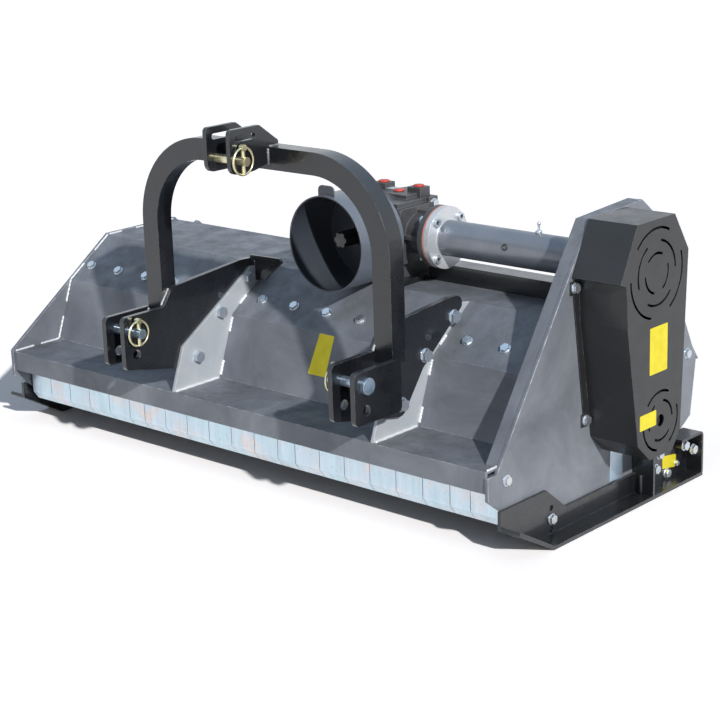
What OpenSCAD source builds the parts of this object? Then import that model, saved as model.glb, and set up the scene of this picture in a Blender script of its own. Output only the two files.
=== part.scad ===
// Flail mower for a three point hitch: deck, hammer rotor, hinged front flaps, belt drive, skids and roller.
// Millimetres, +Z up, ground at z = 0, front of the machine toward -Y, belt side toward +X.

/* [Deck] */
// width over the end plates
deck_w = 1494; // [1300:1:1800]
// thickness of the deck sheet
sheet_t = 5; // [3:0.5:8]
// thickness of the end plates
end_t = 8; // [5:0.5:12]
// height of the front lip's lower edge
lip_z = 147; // [130:1:165]
// height of the front lip
lip_h = 47; // [35:1:60]
// depth of the ledge behind the lip
ledge_d = 144; // [120:1:160]
// depth of the front panel
front_run = 52; // [35:1:70]
// height of the front panel
front_rise = 142; // [130:1:160]
// depth of the upper panel
upper_run = 130; // [115:1:150]
// height of the upper panel
upper_rise = 92; // [80:1:110]
// depth of the flat top
top_d = 231; // [215:1:260]
// depth of the sloping rear panel
rear_run = 133; // [115:1:150]
// drop of the sloping rear panel
rear_drop = 123; // [105:1:140]

/* [End plates] */
// how far an end plate stands proud of the deck sheet
rim = 4; // [2:0.5:8]
// height of the lower edge
base_z = 25; // [15:1:40]
// drop of the nose below the lip
nose_drop = 14; // [8:1:20]
// depth of the nose slope
nose_run = 47; // [30:1:60]
// drop of the nose slope
nose_fall = 35; // [20:1:45]
// depth of the toe slope
toe_run = 97; // [80:1:120]
// rear tip behind the flat top
tip_run = 190; // [170:1:210]
// height of the rear tip
tip_z = 251; // [235:1:270]
// heel in front of the rear tip
heel_in = 20; // [10:1:30]
// height of the heel
heel_z = 122; // [110:1:135]
// tail in front of the heel
tail_in = 37; // [20:1:50]
// drop from heel to tail
tail_drop = 21; // [10:1:30]
// lower rear corner in front of the tail
base_in = 94; // [70:1:110]
// height of the tall plate's step at the front
stem_z = 183; // [172:1:190]
// depth of the tall plate's step
stem_d = 29; // [20:1:40]
// height of the tall plate's front top corner
tall_z = 640; // [615:1:680]
// depth from the step to the front top corner
tall_run = 316; // [300:1:335]
// depth of the tall plate's top edge
tall_top_d = 189; // [170:1:210]
// rise of the tall plate's top edge
tall_rise = 10; // [0:1:20]
// depth of the tall plate's rear corner cut
tall_cut_d = 41; // [25:1:60]
// drop of the tall plate's rear corner cut
tall_cut_drop = 32; // [20:1:45]
// width of the tall plate's folded edge
fold_w = 28; // [18:1:40]

/* [Hitch] */
// offset of the hitch toward the belt side
hitch_x = 138; // [90:1:160]
// spacing of the lower link points
pin_spacing = 683; // [640:1:720]
// clear gap between hitch plate and cheek, which is the hoop tube's width
clevis_gap = 48; // [44:1:56]
// thickness of the gussets
gusset_t = 8; // [6:0.5:12]
// thickness of the hitch plates and cheeks
arm_t = 12; // [8:0.5:16]
// reach of the hitch plates in front of the lip
arm_reach = 130; // [115:1:150]
// height of the hitch plates' lower front corner
arm_low_z = 276; // [262:1:285]
// height of the hitch plates' front part
arm_h = 119; // [105:1:130]
// distance of the link holes from the front end
link_in = 34; // [26:1:42]
// height of the pinned link hole above the lower corner
link_high = 80; // [72:1:90]
// height of the empty link hole above the lower corner
link_low = 29; // [24:1:36]
// radius of the lower link pins
pin_r = 11; // [9:0.1:14]
// depth of the hoop tube
hoop_d = 42; // [38:1:50]
// wall of the hoop tube
hoop_wall = 5; // [3:0.5:8]
// height of the hoop's top
hoop_z = 789; // [740:1:830]
// centreline radius of the hoop's bends
hoop_bend = 178; // [150:1:200]
// clear gap between the top link plates
top_gap = 58; // [50:1:66]
// thickness of the top link plates
top_t = 10; // [8:0.5:14]
// reach of the top link plates in front of the hoop
top_reach = 110; // [96:1:125]
// height of the top link plates above the hoop
top_h = 49; // [40:1:60]
// drop of the top link plates below the hoop's top
top_low = 44; // [38:1:48]
// radius of the top link pin
top_pin_r = 9.5; // [8:0.1:12]
// radius of the hitch bolts
hitch_bolt_r = 8; // [6:0.5:10]
// radius of a linch pin
linch_r = 4.5; // [3:0.5:6]
// centreline radius of a linch ring
ring_r = 28; // [24:1:34]
// radius of the linch ring's wire
wire_r = 2.4; // [1.5:0.1:3.5]

/* [Drive] */
// distance of the cross shaft behind the lip
drive_y = 406; // [396:1:420]
// height of the cross shaft
drive_z = 538; // [528:1:556]
// radius of the gearbox barrel
box_r = 80; // [76:1:88]
// wall of the gearbox
box_wall = 9; // [6:0.5:12]
// front face of the gearbox before the cross shaft
box_front = 63; // [60:1:75]
// rear face of the gearbox behind the cross shaft
box_rear = 85; // [76:1:96]
// radius of the gearbox neck
neck_r = 46; // [43:1:47]
// end of the gearbox neck from the hitch centre
neck_len = 165; // [150:1:180]
// radius of the drive flanges
flange_r = 70; // [66:1:78]
// thickness of a drive flange
flange_t = 14; // [10:0.5:18]
// thickness of the gasket
gasket_t = 4; // [2:0.5:6]
// outer radius of the drive tube
tube_r = 40; // [36:0.5:44]
// wall of the drive tube
tube_wall = 6; // [4:0.5:8]
// thickness of the gearbox base plate
mount_t = 12; // [8:0.5:16]
// depth of the cross beam
beam_d = 50; // [40:1:60]
// height of the cross beam
beam_h = 40; // [32:1:50]
// outer radius of the shield
shield_r = 108; // [100:1:116]
// wall of the shield
shield_t = 3; // [2:0.5:5]
// length of the shield
shield_len = 140; // [120:1:150]
// outer radius of the splined shaft end
spline_r = 17.4; // [16:0.1:20]
// number of splines
splines = 6; // [6:1:8]
// length of the splined shaft end
spline_len = 76; // [60:1:84]
// radius of the input journal
input_r = 20; // [19:0.5:24]
// radius of the cross shaft
cross_r = 17.5; // [15:0.5:20]
// teeth ratio of the bevel gears
bevel_ratio = 3; // [2:0.1:4]
// gap between the crown gear and the gearbox wall
crown_gap = 7; // [5:0.5:10]
// outer radius of the gearbox bearings
bearing_r = 36; // [32:0.5:40]
// width of a bearing
bearing_w = 18; // [14:0.5:24]

/* [Belt drive] */
// outer radius of the drive pulley
pulley_r = 92; // [84:1:98]
// outer radius of the rotor pulley
small_r = 64; // [58:1:70]
// number of belts
belts = 3; // [2:1:4]
// spacing of the belts
belt_pitch = 19; // [18:0.5:22]
// top width of a belt
belt_w = 16; // [13:0.5:17]
// depth of a belt
belt_t = 11; // [9:0.5:12]
// flank angle of a belt
belt_angle = 19; // [17:0.5:20]
// gap between a belt and its groove
belt_gap = 0.45; // [0.4:0.05:0.6]
// reach of the belt cover from the end plate
cover_d = 119; // [110:1:130]
// wall of the belt cover
cover_t = 3; // [2:0.5:5]
// cover's top above the drive axis
cover_top = 106; // [102:1:120]
// cover's front corner before the drive axis
cover_front = 129; // [120:1:140]
// cover's rear corner behind the drive axis
cover_rear = 117; // [110:1:130]
// cover's lower front corner before the rotor axis
cover_low_front = 83; // [78:1:95]
// cover's lower rear corner behind the rotor axis
cover_low_rear = 75; // [72:1:90]
// cover's foot below the rotor axis
cover_foot = 83; // [78:1:95]
// width of a louvre slot
slot_w = 5.5; // [4:0.5:8]
// radial spacing of the louvre rings
slot_pitch = 26; // [22:0.5:30]

/* [Rotor] */
// distance of the rotor axis behind the lip
rotor_y = 426; // [418:1:432]
// height of the rotor axis
rotor_z = 219; // [212:1:226]
// outer radius of the rotor drum
drum_r = 57; // [52:1:60]
// wall of the rotor drum
drum_wall = 8; // [6:0.5:12]
// radius of the rotor's stub shafts
stub_r = 20; // [18:0.5:24]
// gap between the rotor drum and an end plate
drum_gap = 14; // [8:1:24]
// radius of the hammer pivots
pivot_r = 112; // [110:1:116]
// radius of a hammer pin
hammer_pin_r = 10; // [8:0.5:12]
// radius of a hammer's eye
eye_r = 19; // [17:0.5:19.5]
// reach of a hammer below its pivot
hammer_len = 78; // [72:1:82]
// width of a hammer's shank
shank_w = 30; // [24:1:36]
// width of a hammer's cutting edge
edge_w = 84; // [70:1:96]
// hammers in a row
hammers = 6; // [4:1:7]
// thickness of a rotor lug
lug_t = 10; // [8:0.5:14]
// side gap between a hammer and a lug
lug_gap = 0.8; // [0.5:0.1:1.5]
// radius of a lug's rounded end
lug_r = 18; // [16:0.5:20]
// size of a rotor bearing's square flange
bearing_sq = 112; // [104:1:124]
// thickness of the rotor bearing's flange
bearing_t = 12; // [10:0.5:16]
// height of a rotor bearing
bearing_h = 30; // [24:0.5:34]
// depth of the counter blade
blade_d = 60; // [46:1:70]
// thickness of the counter blade
blade_t = 12; // [8:0.5:14]
// number of panel bolts
panel_bolts_n = 15; // [11:1:19]
// distance of the outer panel bolts from the end plates
panel_bolt_edge = 32; // [24:1:60]
// radius of the panel bolts
panel_bolt_r = 6; // [5:0.5:7]

/* [Flaps] */
// distance of the flap rod behind the lip
rod_y = 55; // [45:1:70]
// height of the flap rod
rod_z = 163; // [155:1:172]
// radius of the flap rod
rod_r = 6; // [5:0.5:8]
// thickness of a flap
flap_t = 4; // [3:0.5:6]
// height of the flaps' lower edge
flap_z = 61; // [50:1:75]
// gap between two flaps
flap_gap = 1.5; // [1:0.1:3]
// gap between the outer flaps and the end plates
flap_edge = 4; // [2:0.5:6]
// width of a narrow flap
narrow_w = 53; // [45:1:60]
// height of the flaps' bent foot
flap_foot = 20; // [14:1:28]

/* [Skids, roller and hood] */
// thickness of a skid
skid_t = 8; // [6:0.5:10]
// width of a skid's foot
foot_w = 47; // [40:1:56]
// front of a skid behind the lip
skid_y = 25; // [15:1:35]
// height of a skid's nose
skid_nose = 66; // [55:1:75]
// depth of a skid's sloping nose
skid_rise_d = 115; // [95:1:130]
// height of a skid's front part
skid_front_h = 106; // [98:1:115]
// depth of a skid's front part
skid_front_d = 154; // [135:1:165]
// depth of the slope behind a skid's front part
skid_slope_d = 66; // [50:1:80]
// height of a skid's middle part
skid_h = 52; // [46:1:58]
// height of a skid's rear part
skid_rear_h = 93; // [90:1:98]
// length of a skid
skid_len = 659; // [650:1:670]
// front of a roller bracket behind the lip
bracket_y = 500; // [490:1:510]
// length of a roller bracket
bracket_len = 200; // [192:1:208]
// height of a roller bracket
bracket_h = 105; // [98:1:112]
// thickness of a roller bracket
bracket_t = 6; // [4:0.5:8]
// radius of the roller
roller_r = 60; // [52:1:62]
// distance of the roller behind the lip
roller_y = 650; // [644:1:656]
// wall of the roller
roller_wall = 6; // [4:0.5:9]
// radius of the roller's stub shafts
axle_r = 17.5; // [15:0.5:20]
// gap between the roller and an end plate
roller_gap = 12; // [10:0.5:16]
// radius of the hood's hinge bar
hood_r = 10; // [8:0.5:12]
// radius of the hood's hinge stubs
hood_pin_r = 6; // [5:0.5:7]
// thickness of the hood
hood_t = 4; // [3:0.5:6]
// depth of the hood's upper part
hood_run = 92; // [80:1:100]
// drop of the hood's upper part
hood_drop = 34; // [25:1:45]
// depth of the hood's lower part
hood_low_run = 100; // [85:1:115]
// drop of the hood's lower part
hood_low_drop = 132; // [115:1:145]
// gap between the hood and an end plate
hood_gap = 10; // [9:0.5:16]

/* [Fasteners and fits] */
// radius of the frame bolts
bolt_r = 6; // [5:0.5:8]
// thickness of a washer
washer_t = 2; // [1.5:0.5:3]
// running clearance of turning pieces
run_fit = 0.06; // [0.02:0.01:0.1]
// clearance of a bolt or pin in its hole
bolt_fit = 0.4; // [0.2:0.1:0.6]

/* [Hidden] */
$fn = 72;
round_steps = 6;
over = 1;
half_w = deck_w / 2;
in_w = half_w - end_t;
half_pin = pin_spacing / 2;
arm_x = half_pin - clevis_gap / 2;
ledge_z = lip_z + lip_h;
p_lip = [0, lip_z];
p_edge = [0, ledge_z];
p_ledge = [ledge_d, ledge_z];
p_front = p_ledge + [front_run, front_rise];
p_upper = p_front + [upper_run, upper_rise];
p_top = p_upper + [top_d, 0];
p_rear = p_top + [rear_run, -rear_drop];
deck_z = p_upper[1];
deck_path = [p_lip, p_edge, p_ledge, p_front, p_upper, p_top, p_rear];
rotor = [rotor_y, rotor_z];
drive = [drive_y, drive_z];
roller = [roller_y, roller_r];
rod = [rod_y, rod_z];
panel_u = unit(p_upper - p_front);
panel_n = side(panel_u);
panel_bolt_share = 0.34;
p_bolt = p_front + (p_upper - p_front) * panel_bolt_share;
panel_bolt_pitch = 2 * (in_w - panel_bolt_edge) / (panel_bolts_n - 1);
rear_u = unit(p_rear - p_top);
rear_n = side(rear_u);
hood_hinge = p_top + rear_u * hood_r * 4.5 + rear_n * hood_r * 1.1;
hood_bend = hood_hinge + [hood_run, -hood_drop];
hood_end = hood_bend + [hood_low_run, -hood_low_drop];
tip_y = p_top[0] + tip_run + rim;
fold_z0 = ledge_z;
stem_y = stem_d - rim;
tall_y = stem_y + tall_run;

// outlines of the end plates, [y, z], clockwise from the nose
plate_foot = [
    [tip_y, tip_z],
    [tip_y - heel_in, heel_z],
    [tip_y - heel_in - tail_in, heel_z - tail_drop],
    [tip_y - heel_in - tail_in - base_in, base_z],
    [nose_run + toe_run - rim, base_z],
    [nose_run - rim, lip_z - nose_drop - nose_fall],
    [-rim, lip_z - nose_drop]
];
low_plate = concat([[-rim, ledge_z + rim], p_upper + [0, rim], p_top + [rim, rim]], plate_foot);
tall_edge = [
    [stem_y, stem_z],
    [tall_y, tall_z],
    [tall_y + tall_top_d, tall_z + tall_rise],
    [tall_y + tall_top_d + tall_cut_d, tall_z + tall_rise - tall_cut_drop]
];
tall_plate = concat([[-rim, stem_z]], tall_edge, plate_foot);

// hitch plate outline, [y, z], from its front top corner
link_y = link_in - arm_reach;
link_hole = [link_y, arm_low_z + link_high];
spare_hole = [link_y, arm_low_z + link_low];
arm_top_z = arm_low_z + arm_h;
gusset_low_share = 0.7;
gusset_mid = [arm_t * 3, p_edge[1] + front_rise * gusset_low_share];
gusset_top = [p_upper[0] - upper_run * 0.49, deck_z + gusset_t];
arm_outline = [
    [-arm_reach, arm_top_z],
    [-gusset_t, arm_top_z],
    [ledge_d * 0.15, deck_z + gusset_t],
    [gusset_top[0] - arm_t * 1.7, deck_z + arm_t * 2.3],
    [gusset_top[0] + arm_t * 2, deck_z + arm_t * 2.1],
    [gusset_top[0] + arm_t * 1.8, deck_z],
    [p_ledge[0] + gusset_t, p_front[1] - gusset_t * 1.6],
    [ledge_d * 0.58, ledge_z + arm_t * 3.2],
    [-arm_reach, arm_low_z]
];
arm_rounds = [arm_t, arm_t, arm_t * 2, 0, arm_t * 1.5, arm_t, arm_t * 3, arm_t * 2, arm_t];
hitch_bolt_shares = [0.19, 0.54, 0.965];
function on_gusset(s) = gusset_mid + (gusset_top - gusset_mid) * s;
hitch_bolts = [
    on_gusset(hitch_bolt_shares[0]) - [0, arm_t * 5],
    on_gusset(hitch_bolt_shares[1]) - [0, arm_t * 1.8],
    on_gusset(hitch_bolt_shares[2]) - [0, arm_t * 1.6]
];
top_hole = [top_pin_r * 3 - top_reach, hoop_z - top_pin_r * 1.8];

// flap layout
flaps_n = 21;
narrow = [5, 12, 19];
flap_w = (2 * in_w - 2 * flap_edge - len(narrow) * narrow_w) / (flaps_n - len(narrow));
function narrow_before(i) = len([for (n = narrow) if (n < i) n]);
function flap_x(i) = flap_edge - in_w + i * flap_w + narrow_before(i) * (narrow_w - flap_w);
function flap_width(i) = narrow_before(i + 1) > narrow_before(i) ? narrow_w : flap_w;

// belt geometry
centres = drive - rotor;
belt_line = atan2(centres[1], centres[0]);
belt_lean = asin((pulley_r - small_r) / norm(centres));
belt_steps = 24;
pulley_w = belts * belt_pitch + belt_t / 2;
pulley_x = half_w + cover_d - cover_t - pulley_w - belt_t;
belt_x = pulley_x + pulley_w / 2;
cover_outline = [
    [drive_y - cover_front * 0.55, drive_z + cover_top],
    [drive_y + cover_rear * 0.55, drive_z + cover_top],
    [drive_y + cover_rear, drive_z + cover_top * 0.22],
    [rotor_y + cover_low_rear, rotor_z - cover_foot * 0.5],
    [rotor_y + cover_low_rear * 0.61, rotor_z - cover_foot],
    [rotor_y - cover_low_front * 0.46, rotor_z - cover_foot],
    [rotor_y - cover_low_front, rotor_z - cover_foot * 0.5],
    [drive_y - cover_front * 0.8, drive_z - cover_top * 0.96],
    [drive_y - cover_front * 0.84, drive_z - cover_top * 0.12],
    [drive_y - cover_front, drive_z - cover_top * 0.05]
];
cover_bolts = [
    [drive_y - cover_front * 0.84 - bolt_r * 2.3, drive_z - cover_top * 0.26],
    [rotor_y - cover_low_front - bolt_r * 3.5, rotor_z],
    [drive_y + cover_rear + bolt_r * 2.2, drive_z - cover_top * 0.25],
    [rotor_y + cover_low_rear + bolt_r * 3.2, rotor_z]
];

// skid and bracket layout
skid_end = skid_y + skid_len;
skid_bolt = [skid_y + skid_front_d + foot_w * 0.32, skid_h * 0.77];
bracket_x = half_w + skid_t;
bracket_bolts = [
    [bracket_y + bracket_len * 0.14, skid_h * 1.15],
    [bracket_y + bracket_len * 0.35, skid_h * 0.8],
    [bracket_y + bracket_len * 0.42, skid_h * 1.4]
];
bracket_studs = [
    [bracket_y + bracket_len * 0.71, bracket_h * 0.79],
    [bracket_y + bracket_len * 0.88, bracket_h * 0.62]
];
hood_bolt = [tip_y - heel_in * 2, tip_z + heel_in];

// rotor layout
hammer_room = 2 * (in_w - edge_w * 0.75);
hammer_pitch = hammer_room / hammers;
row_angles = [45, 135, 225, 315];
function hammer_x(row, i) = (i + 0.5) * hammer_pitch - hammer_room / 2 + (row - 1.5) * hammer_pitch / 4;
function row_pivot(row) = rotor + pivot_r * [cos(row_angles[row]), sin(row_angles[row])];
bearing_bolts = [for (a = row_angles) rotor + bearing_sq * 0.53 * [cos(a), sin(a)]];

// bolt proportions
washer_share = 2;
head_share = 1.75;
head_h_share = 1.1;
nut_h_share = 1.3;
cap_share = 1.6;
socket_share = 0.95;

// shift that puts the origin at the middle of the ground outline
centre_x = (cover_d - skid_t - foot_w) / 2;
centre_y = (hood_end[0] - arm_reach) / 2;

function unit(v) = v / norm(v);
function side(v) = [-v[1], v[0]];
function last(p) = len(p) - 1;
function back(p) = [for (i = [last(p) : -1 : 0]) p[i]];
function mitre(a, b, t) = let (m = side(a) + side(b)) m * 2 * t / (m * m);
function step_to(p, i) = unit(p[i] - p[i - 1]);
function shifted(p, t) = [for (i = [0 : last(p)])
    p[i] + mitre(step_to(p, max(i, 1)), step_to(p, min(i + 1, last(p))), t)];
function sheet(p, t) = concat(p, back(shifted(p, -t)));
function ring_at(p, i) = p[(i + len(p)) % len(p)];
function inset(p, t) = [for (i = [0 : last(p)])
    p[i] + mitre(unit(p[i] - ring_at(p, i - 1)), unit(ring_at(p, i + 1) - p[i]), -t)];
function turned(v, a) = [v[0] * cos(a) - v[1] * sin(a), v[0] * sin(a) + v[1] * cos(a)];
function swept(c, s, e) = let (a = atan2(cross(s, e), s * e))
    [for (i = [0 : round_steps]) c + turned(s, a * i / round_steps)];
function corner(a, b, c, r) = let (u = unit(a - b), v = unit(c - b), h = acos(u * v) / 2,
    m = b + unit(u + v) * r / sin(h)) swept(m, b + u * r / tan(h) - m, b + v * r / tan(h) - m);
function rounded(p, r) = [for (i = [0 : last(p)])
    each r[i] == 0 ? [p[i]] : corner(ring_at(p, i - 1), p[i], ring_at(p, i + 1), r[i])];
function all_round(p, r) = rounded(p, [for (q = p) r]);
function box_points(a, b) = [a, [a[0], b[1]], b, [b[0], a[1]]];
function cut_at(a, b, z) = a + (b - a) * (z - a[1]) / (b[1] - a[1]);

// flat outline in y and z, carried along x
module along_x(x, length) {
    translate([x, 0, 0]) rotate([90, 0, 90]) linear_extrude(length) children();
}

// round bar along x
module rod_x(x, p, r, length) {
    translate([x, p[0], p[1]]) rotate([0, 90, 0]) cylinder(r = r, h = length);
}

// round bar along y
module rod_y(x, y, z, r, length) {
    translate([x, y, z]) rotate([-90, 0, 0]) cylinder(r = r, h = length);
}

// solid of revolution about x: the drawing's x is the radius, its y runs along the axis
module turned_x(x, p) {
    translate([x, p[0], p[1]]) rotate([90, 0, 90]) rotate_extrude() children();
}

module block(a, b) {
    translate(a) cube(b - a);
}

// left and right of the hitch centre, measured outward
module hitch_side(s) {
    translate([hitch_x, 0, 0]) mirror([s, 0, 0]) children();
}

// screw with its head and a washer above z = 0
module screw(r, grip) {
    cylinder(r = r * washer_share, h = washer_t);
    translate([0, 0, washer_t]) cylinder(r = r * head_share, h = r * head_h_share, $fn = 6);
    translate([0, 0, -grip]) cylinder(r = r, h = grip);
}

// nut whose upper face is at z = -grip
module nut(r, grip) {
    translate([0, 0, -grip - r * nut_h_share]) cylinder(r = r * head_share, h = r * nut_h_share, $fn = 6);
}

module bolt(r, grip) {
    screw(r, grip);
    nut(r, grip);
}

// cap screw with a hexagon socket and a nut
module cap_bolt(r, grip) {
    difference() {
        cylinder(r = r * cap_share, h = r * head_h_share);
        translate([0, 0, r * head_h_share / 2]) cylinder(r = r * socket_share, h = r, $fn = 6);
    }
    translate([0, 0, -grip]) cylinder(r = r, h = grip);
    nut(r, grip);
}

// fastener whose head points along +x
module at_x(x, p) {
    translate([x, p[0], p[1]]) rotate([0, 90, 0]) children();
}

module bolt_x(x, p, r, grip) {
    at_x(x, p) bolt(r, grip);
}

module on_panel(p) {
    translate([0, p[0], p[1]]) rotate([atan2(-panel_n[0], panel_n[1]), 0, 0]) children();
}

module panel_row() {
    for (i = [0 : panel_bolts_n - 1])
        translate([(i - (panel_bolts_n - 1) / 2) * panel_bolt_pitch, 0, 0]) on_panel(p_bolt) children();
}

hood_half = in_w - hood_gap;
lug_x = hood_half - hood_r * 4;

module deck_shell() {
    r = hood_r * 1.3;
    base = hood_hinge - rear_n * hood_r * 1.1;
    top = hood_hinge + rear_n * r;
    lug = [base - rear_u * r * 1.8, top - rear_u * r, top + rear_u * r, base + rear_u * r * 1.8];
    color([0.5, 0.51, 0.53])
    difference() {
        union() {
            along_x(-in_w, 2 * in_w) polygon(sheet(deck_path, sheet_t));
            for (s = [0, 1]) mirror([s, 0, 0])
                along_x(lug_x, end_t) polygon(rounded(lug, [0, r / 2, r / 2, 0]));
        }
        panel_row() translate([0, 0, -sheet_t - over])
            cylinder(r = panel_bolt_r + bolt_fit, h = sheet_t + 2 * over);
        for (s = [0, 1]) mirror([s, 0, 0])
            rod_x(lug_x - over, hood_hinge, hood_pin_r + run_fit, end_t + 2 * over);
    }
}

// holes shared by both end plates, x is the plate's inner face
module plate_holes(x) {
    rod_x(x - over, rotor, stub_r * 1.5, end_t + 2 * over);
    rod_x(x - over, rod, rod_r + bolt_fit, end_t + 2 * over);
    rod_x(x - over, roller, axle_r + run_fit, end_t + 2 * over);
    rod_x(x - over, skid_bolt, bolt_r + bolt_fit, end_t + 2 * over);
    rod_x(x - over, hood_bolt, bolt_r + bolt_fit, end_t + 2 * over);
    for (p = concat(bracket_bolts, bearing_bolts))
        rod_x(x - over, p, bolt_r + bolt_fit, end_t + 2 * over);
}

module left_end_plate() {
    color([0.5, 0.51, 0.53])
    difference() {
        along_x(-half_w, end_t) polygon(low_plate);
        plate_holes(-half_w);
    }
}

module right_end_plate() {
    path = concat(tall_edge, [[tip_y, tip_z]]);
    outer = shifted(path, -end_t * 0.1);
    inner = shifted(path, -end_t);
    n = last(tall_edge);
    fold = concat([cut_at(outer[0], outer[1], fold_z0)], [for (i = [1 : n]) outer[i]],
        [for (i = [n : -1 : 1]) inner[i]], [cut_at(inner[0], inner[1], fold_z0)]);
    color([0.5, 0.51, 0.53])
    difference() {
        union() {
            along_x(in_w, end_t) polygon(tall_plate);
            along_x(in_w - fold_w, fold_w) polygon(fold);
        }
        plate_holes(in_w);
        rod_x(in_w - over, drive, tube_r + bolt_fit, end_t + 2 * over);
        for (p = cover_bolts)
            rod_x(in_w - over, p, bolt_r + bolt_fit, end_t + 2 * over);
    }
}

module hitch_gussets() {
    outline = [[0, ledge_z], gusset_mid, gusset_top, p_upper, p_front, p_ledge];
    color([0.5, 0.51, 0.53])
    for (s = [0, 1]) hitch_side(s)
        difference() {
            along_x(arm_x - arm_t - gusset_t, gusset_t) polygon(outline);
            for (p = hitch_bolts)
                rod_x(arm_x - arm_t - gusset_t - over, p, hitch_bolt_r + bolt_fit, gusset_t + 2 * over);
        }
}

module tube_section() {
    difference() {
        square([clevis_gap, hoop_d], center = true);
        square([clevis_gap - 2 * hoop_wall, hoop_d - 2 * hoop_wall], center = true);
    }
}

module hitch_hoop() {
    bend_z = hoop_z - clevis_gap / 2 - hoop_bend;
    foot_z = arm_low_z + link_high + pin_r * 1.5;
    color([0.11, 0.11, 0.12])
    translate([hitch_x, hoop_d / 2, 0]) {
        for (s = [0, 1]) mirror([s, 0, 0]) {
            translate([half_pin, 0, foot_z]) linear_extrude(bend_z - foot_z) tube_section();
            translate([half_pin - hoop_bend, 0, bend_z]) rotate([90, 0, 0])
                rotate_extrude(angle = 90) translate([hoop_bend, 0]) tube_section();
        }
        translate([hoop_bend - half_pin, 0, hoop_z - clevis_gap / 2]) rotate([90, 0, 90])
            linear_extrude(pin_spacing - 2 * hoop_bend) rotate(90) tube_section();
    }
}

module hitch_plate() {
    difference() {
        along_x(arm_x - arm_t, arm_t) polygon(rounded(arm_outline, arm_rounds));
        for (p = [link_hole, spare_hole])
            rod_x(arm_x - arm_t - over, p, pin_r + bolt_fit / 4, arm_t + 2 * over);
        for (p = hitch_bolts)
            rod_x(arm_x - arm_t - over, p, hitch_bolt_r + bolt_fit, arm_t + 2 * over);
        rod_x(arm_x - arm_t - over, hitch_bolts[1] + [arm_t, arm_t * 3.2], hitch_bolt_r, arm_t + 2 * over);
    }
}

module left_hitch_plate() {
    ear_x = arm_x - arm_t;
    ear_z = deck_z + gusset_t;
    ear_y = gusset_top[0] + arm_t * 1.1;
    ear = [
        [ear_x + arm_t / 2, ear_z + arm_t],
        [ear_x + arm_t / 2, ear_z + arm_t * 2],
        [ear_x - arm_t * 7.4, ear_z + arm_t * 2.2],
        [ear_x - arm_t * 8.2, ear_z + arm_t * 1.5],
        [ear_x - arm_t * 3.4, ear_z - arm_t * 2.4],
        [ear_x - gusset_t * 1.2, ear_z - arm_t * 3],
        [ear_x - gusset_t * 1.2, ear_z + arm_t]
    ];
    rounds = [0, 0, arm_t * 0.4, arm_t * 0.4, arm_t, 0, 0];
    color([0.11, 0.11, 0.12])
    hitch_side(1) {
        hitch_plate();
        translate([0, ear_y + arm_t / 2, 0]) rotate([90, 0, 0]) linear_extrude(arm_t / 2)
            polygon(rounded(ear, rounds));
    }
}

module right_hitch_plate() {
    color([0.11, 0.11, 0.12]) hitch_side(0) hitch_plate();
}

module hitch_cheeks() {
    outline = box_points([-arm_reach, arm_low_z], [arm_t, arm_top_z - gusset_t]);
    color([0.11, 0.11, 0.12])
    for (s = [0, 1]) hitch_side(s)
        difference() {
            along_x(arm_x + clevis_gap, arm_t) polygon(all_round(outline, arm_t));
            for (p = [link_hole, spare_hole])
                rod_x(arm_x + clevis_gap - over, p, pin_r + bolt_fit / 4, arm_t + 2 * over);
        }
}

module top_link_plates() {
    low = hoop_z - top_low;
    high = hoop_z + top_h;
    outline = [
        [-top_reach, low],
        [-top_reach, high],
        [-top_reach * 0.21, high],
        [hoop_d * 0.74, hoop_z + top_t],
        [hoop_d * 0.74, hoop_z],
        [0, hoop_z],
        [0, low + top_t],
        [-top_reach * 0.4, low]
    ];
    rounds = [top_pin_r * 2, top_t, top_t, 0, 0, 0, 0, top_t * 2];
    slot_z = hoop_z + top_h * 0.58;
    slot_r = top_t * 0.6;
    color([0.11, 0.11, 0.12])
    translate([hitch_x, 0, 0]) for (s = [0, 1]) mirror([s, 0, 0])
        difference() {
            along_x(top_gap / 2, top_t) polygon(rounded(outline, rounds));
            rod_x(top_gap / 2 - over, top_hole, top_pin_r + bolt_fit / 4, top_t + 2 * over);
            rod_x(top_gap / 2 - over, [-top_reach * 0.8, slot_z], slot_r, top_t + 2 * over);
            rod_x(top_gap / 2 - over, [-top_reach * 0.37, slot_z], slot_r, top_t + 2 * over);
            block([top_gap / 2 - over, -top_reach * 0.8, slot_z - slot_r],
                [top_gap / 2 + top_t + over, -top_reach * 0.37, slot_z + slot_r]);
        }
}

linch_x = arm_x - arm_t - pin_r;
top_linch_x = top_gap / 2 + top_t + top_pin_r * 0.9;

module lower_link_pins() {
    tip_x = linch_x - pin_r * 1.2;
    length = half_pin + clevis_gap / 2 + arm_t - tip_x;
    color([0.62, 0.68, 0.76])
    for (s = [0, 1]) hitch_side(s)
        difference() {
            union() {
                rod_x(tip_x, link_hole, pin_r, length);
                rod_x(tip_x + length, link_hole, pin_r * 1.6, pin_r * 0.8);
            }
            translate([linch_x, link_hole[0], link_hole[1] - pin_r * 2])
                cylinder(r = linch_r + bolt_fit / 4, h = pin_r * 4);
        }
}

module top_link_pin() {
    reach = top_gap / 2 + top_t;
    length = reach + top_linch_x + top_pin_r * 1.2;
    color([0.72, 0.62, 0.32])
    translate([hitch_x, 0, 0])
        difference() {
            union() {
                rod_x(-reach, top_hole, top_pin_r, length);
                rod_x(-reach - top_pin_r * 0.8, top_hole, top_pin_r * 1.6, top_pin_r * 0.8);
            }
            translate([top_linch_x, top_hole[0], top_hole[1] - top_pin_r * 2])
                cylinder(r = linch_r + bolt_fit / 4, h = top_pin_r * 4);
        }
}

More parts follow.
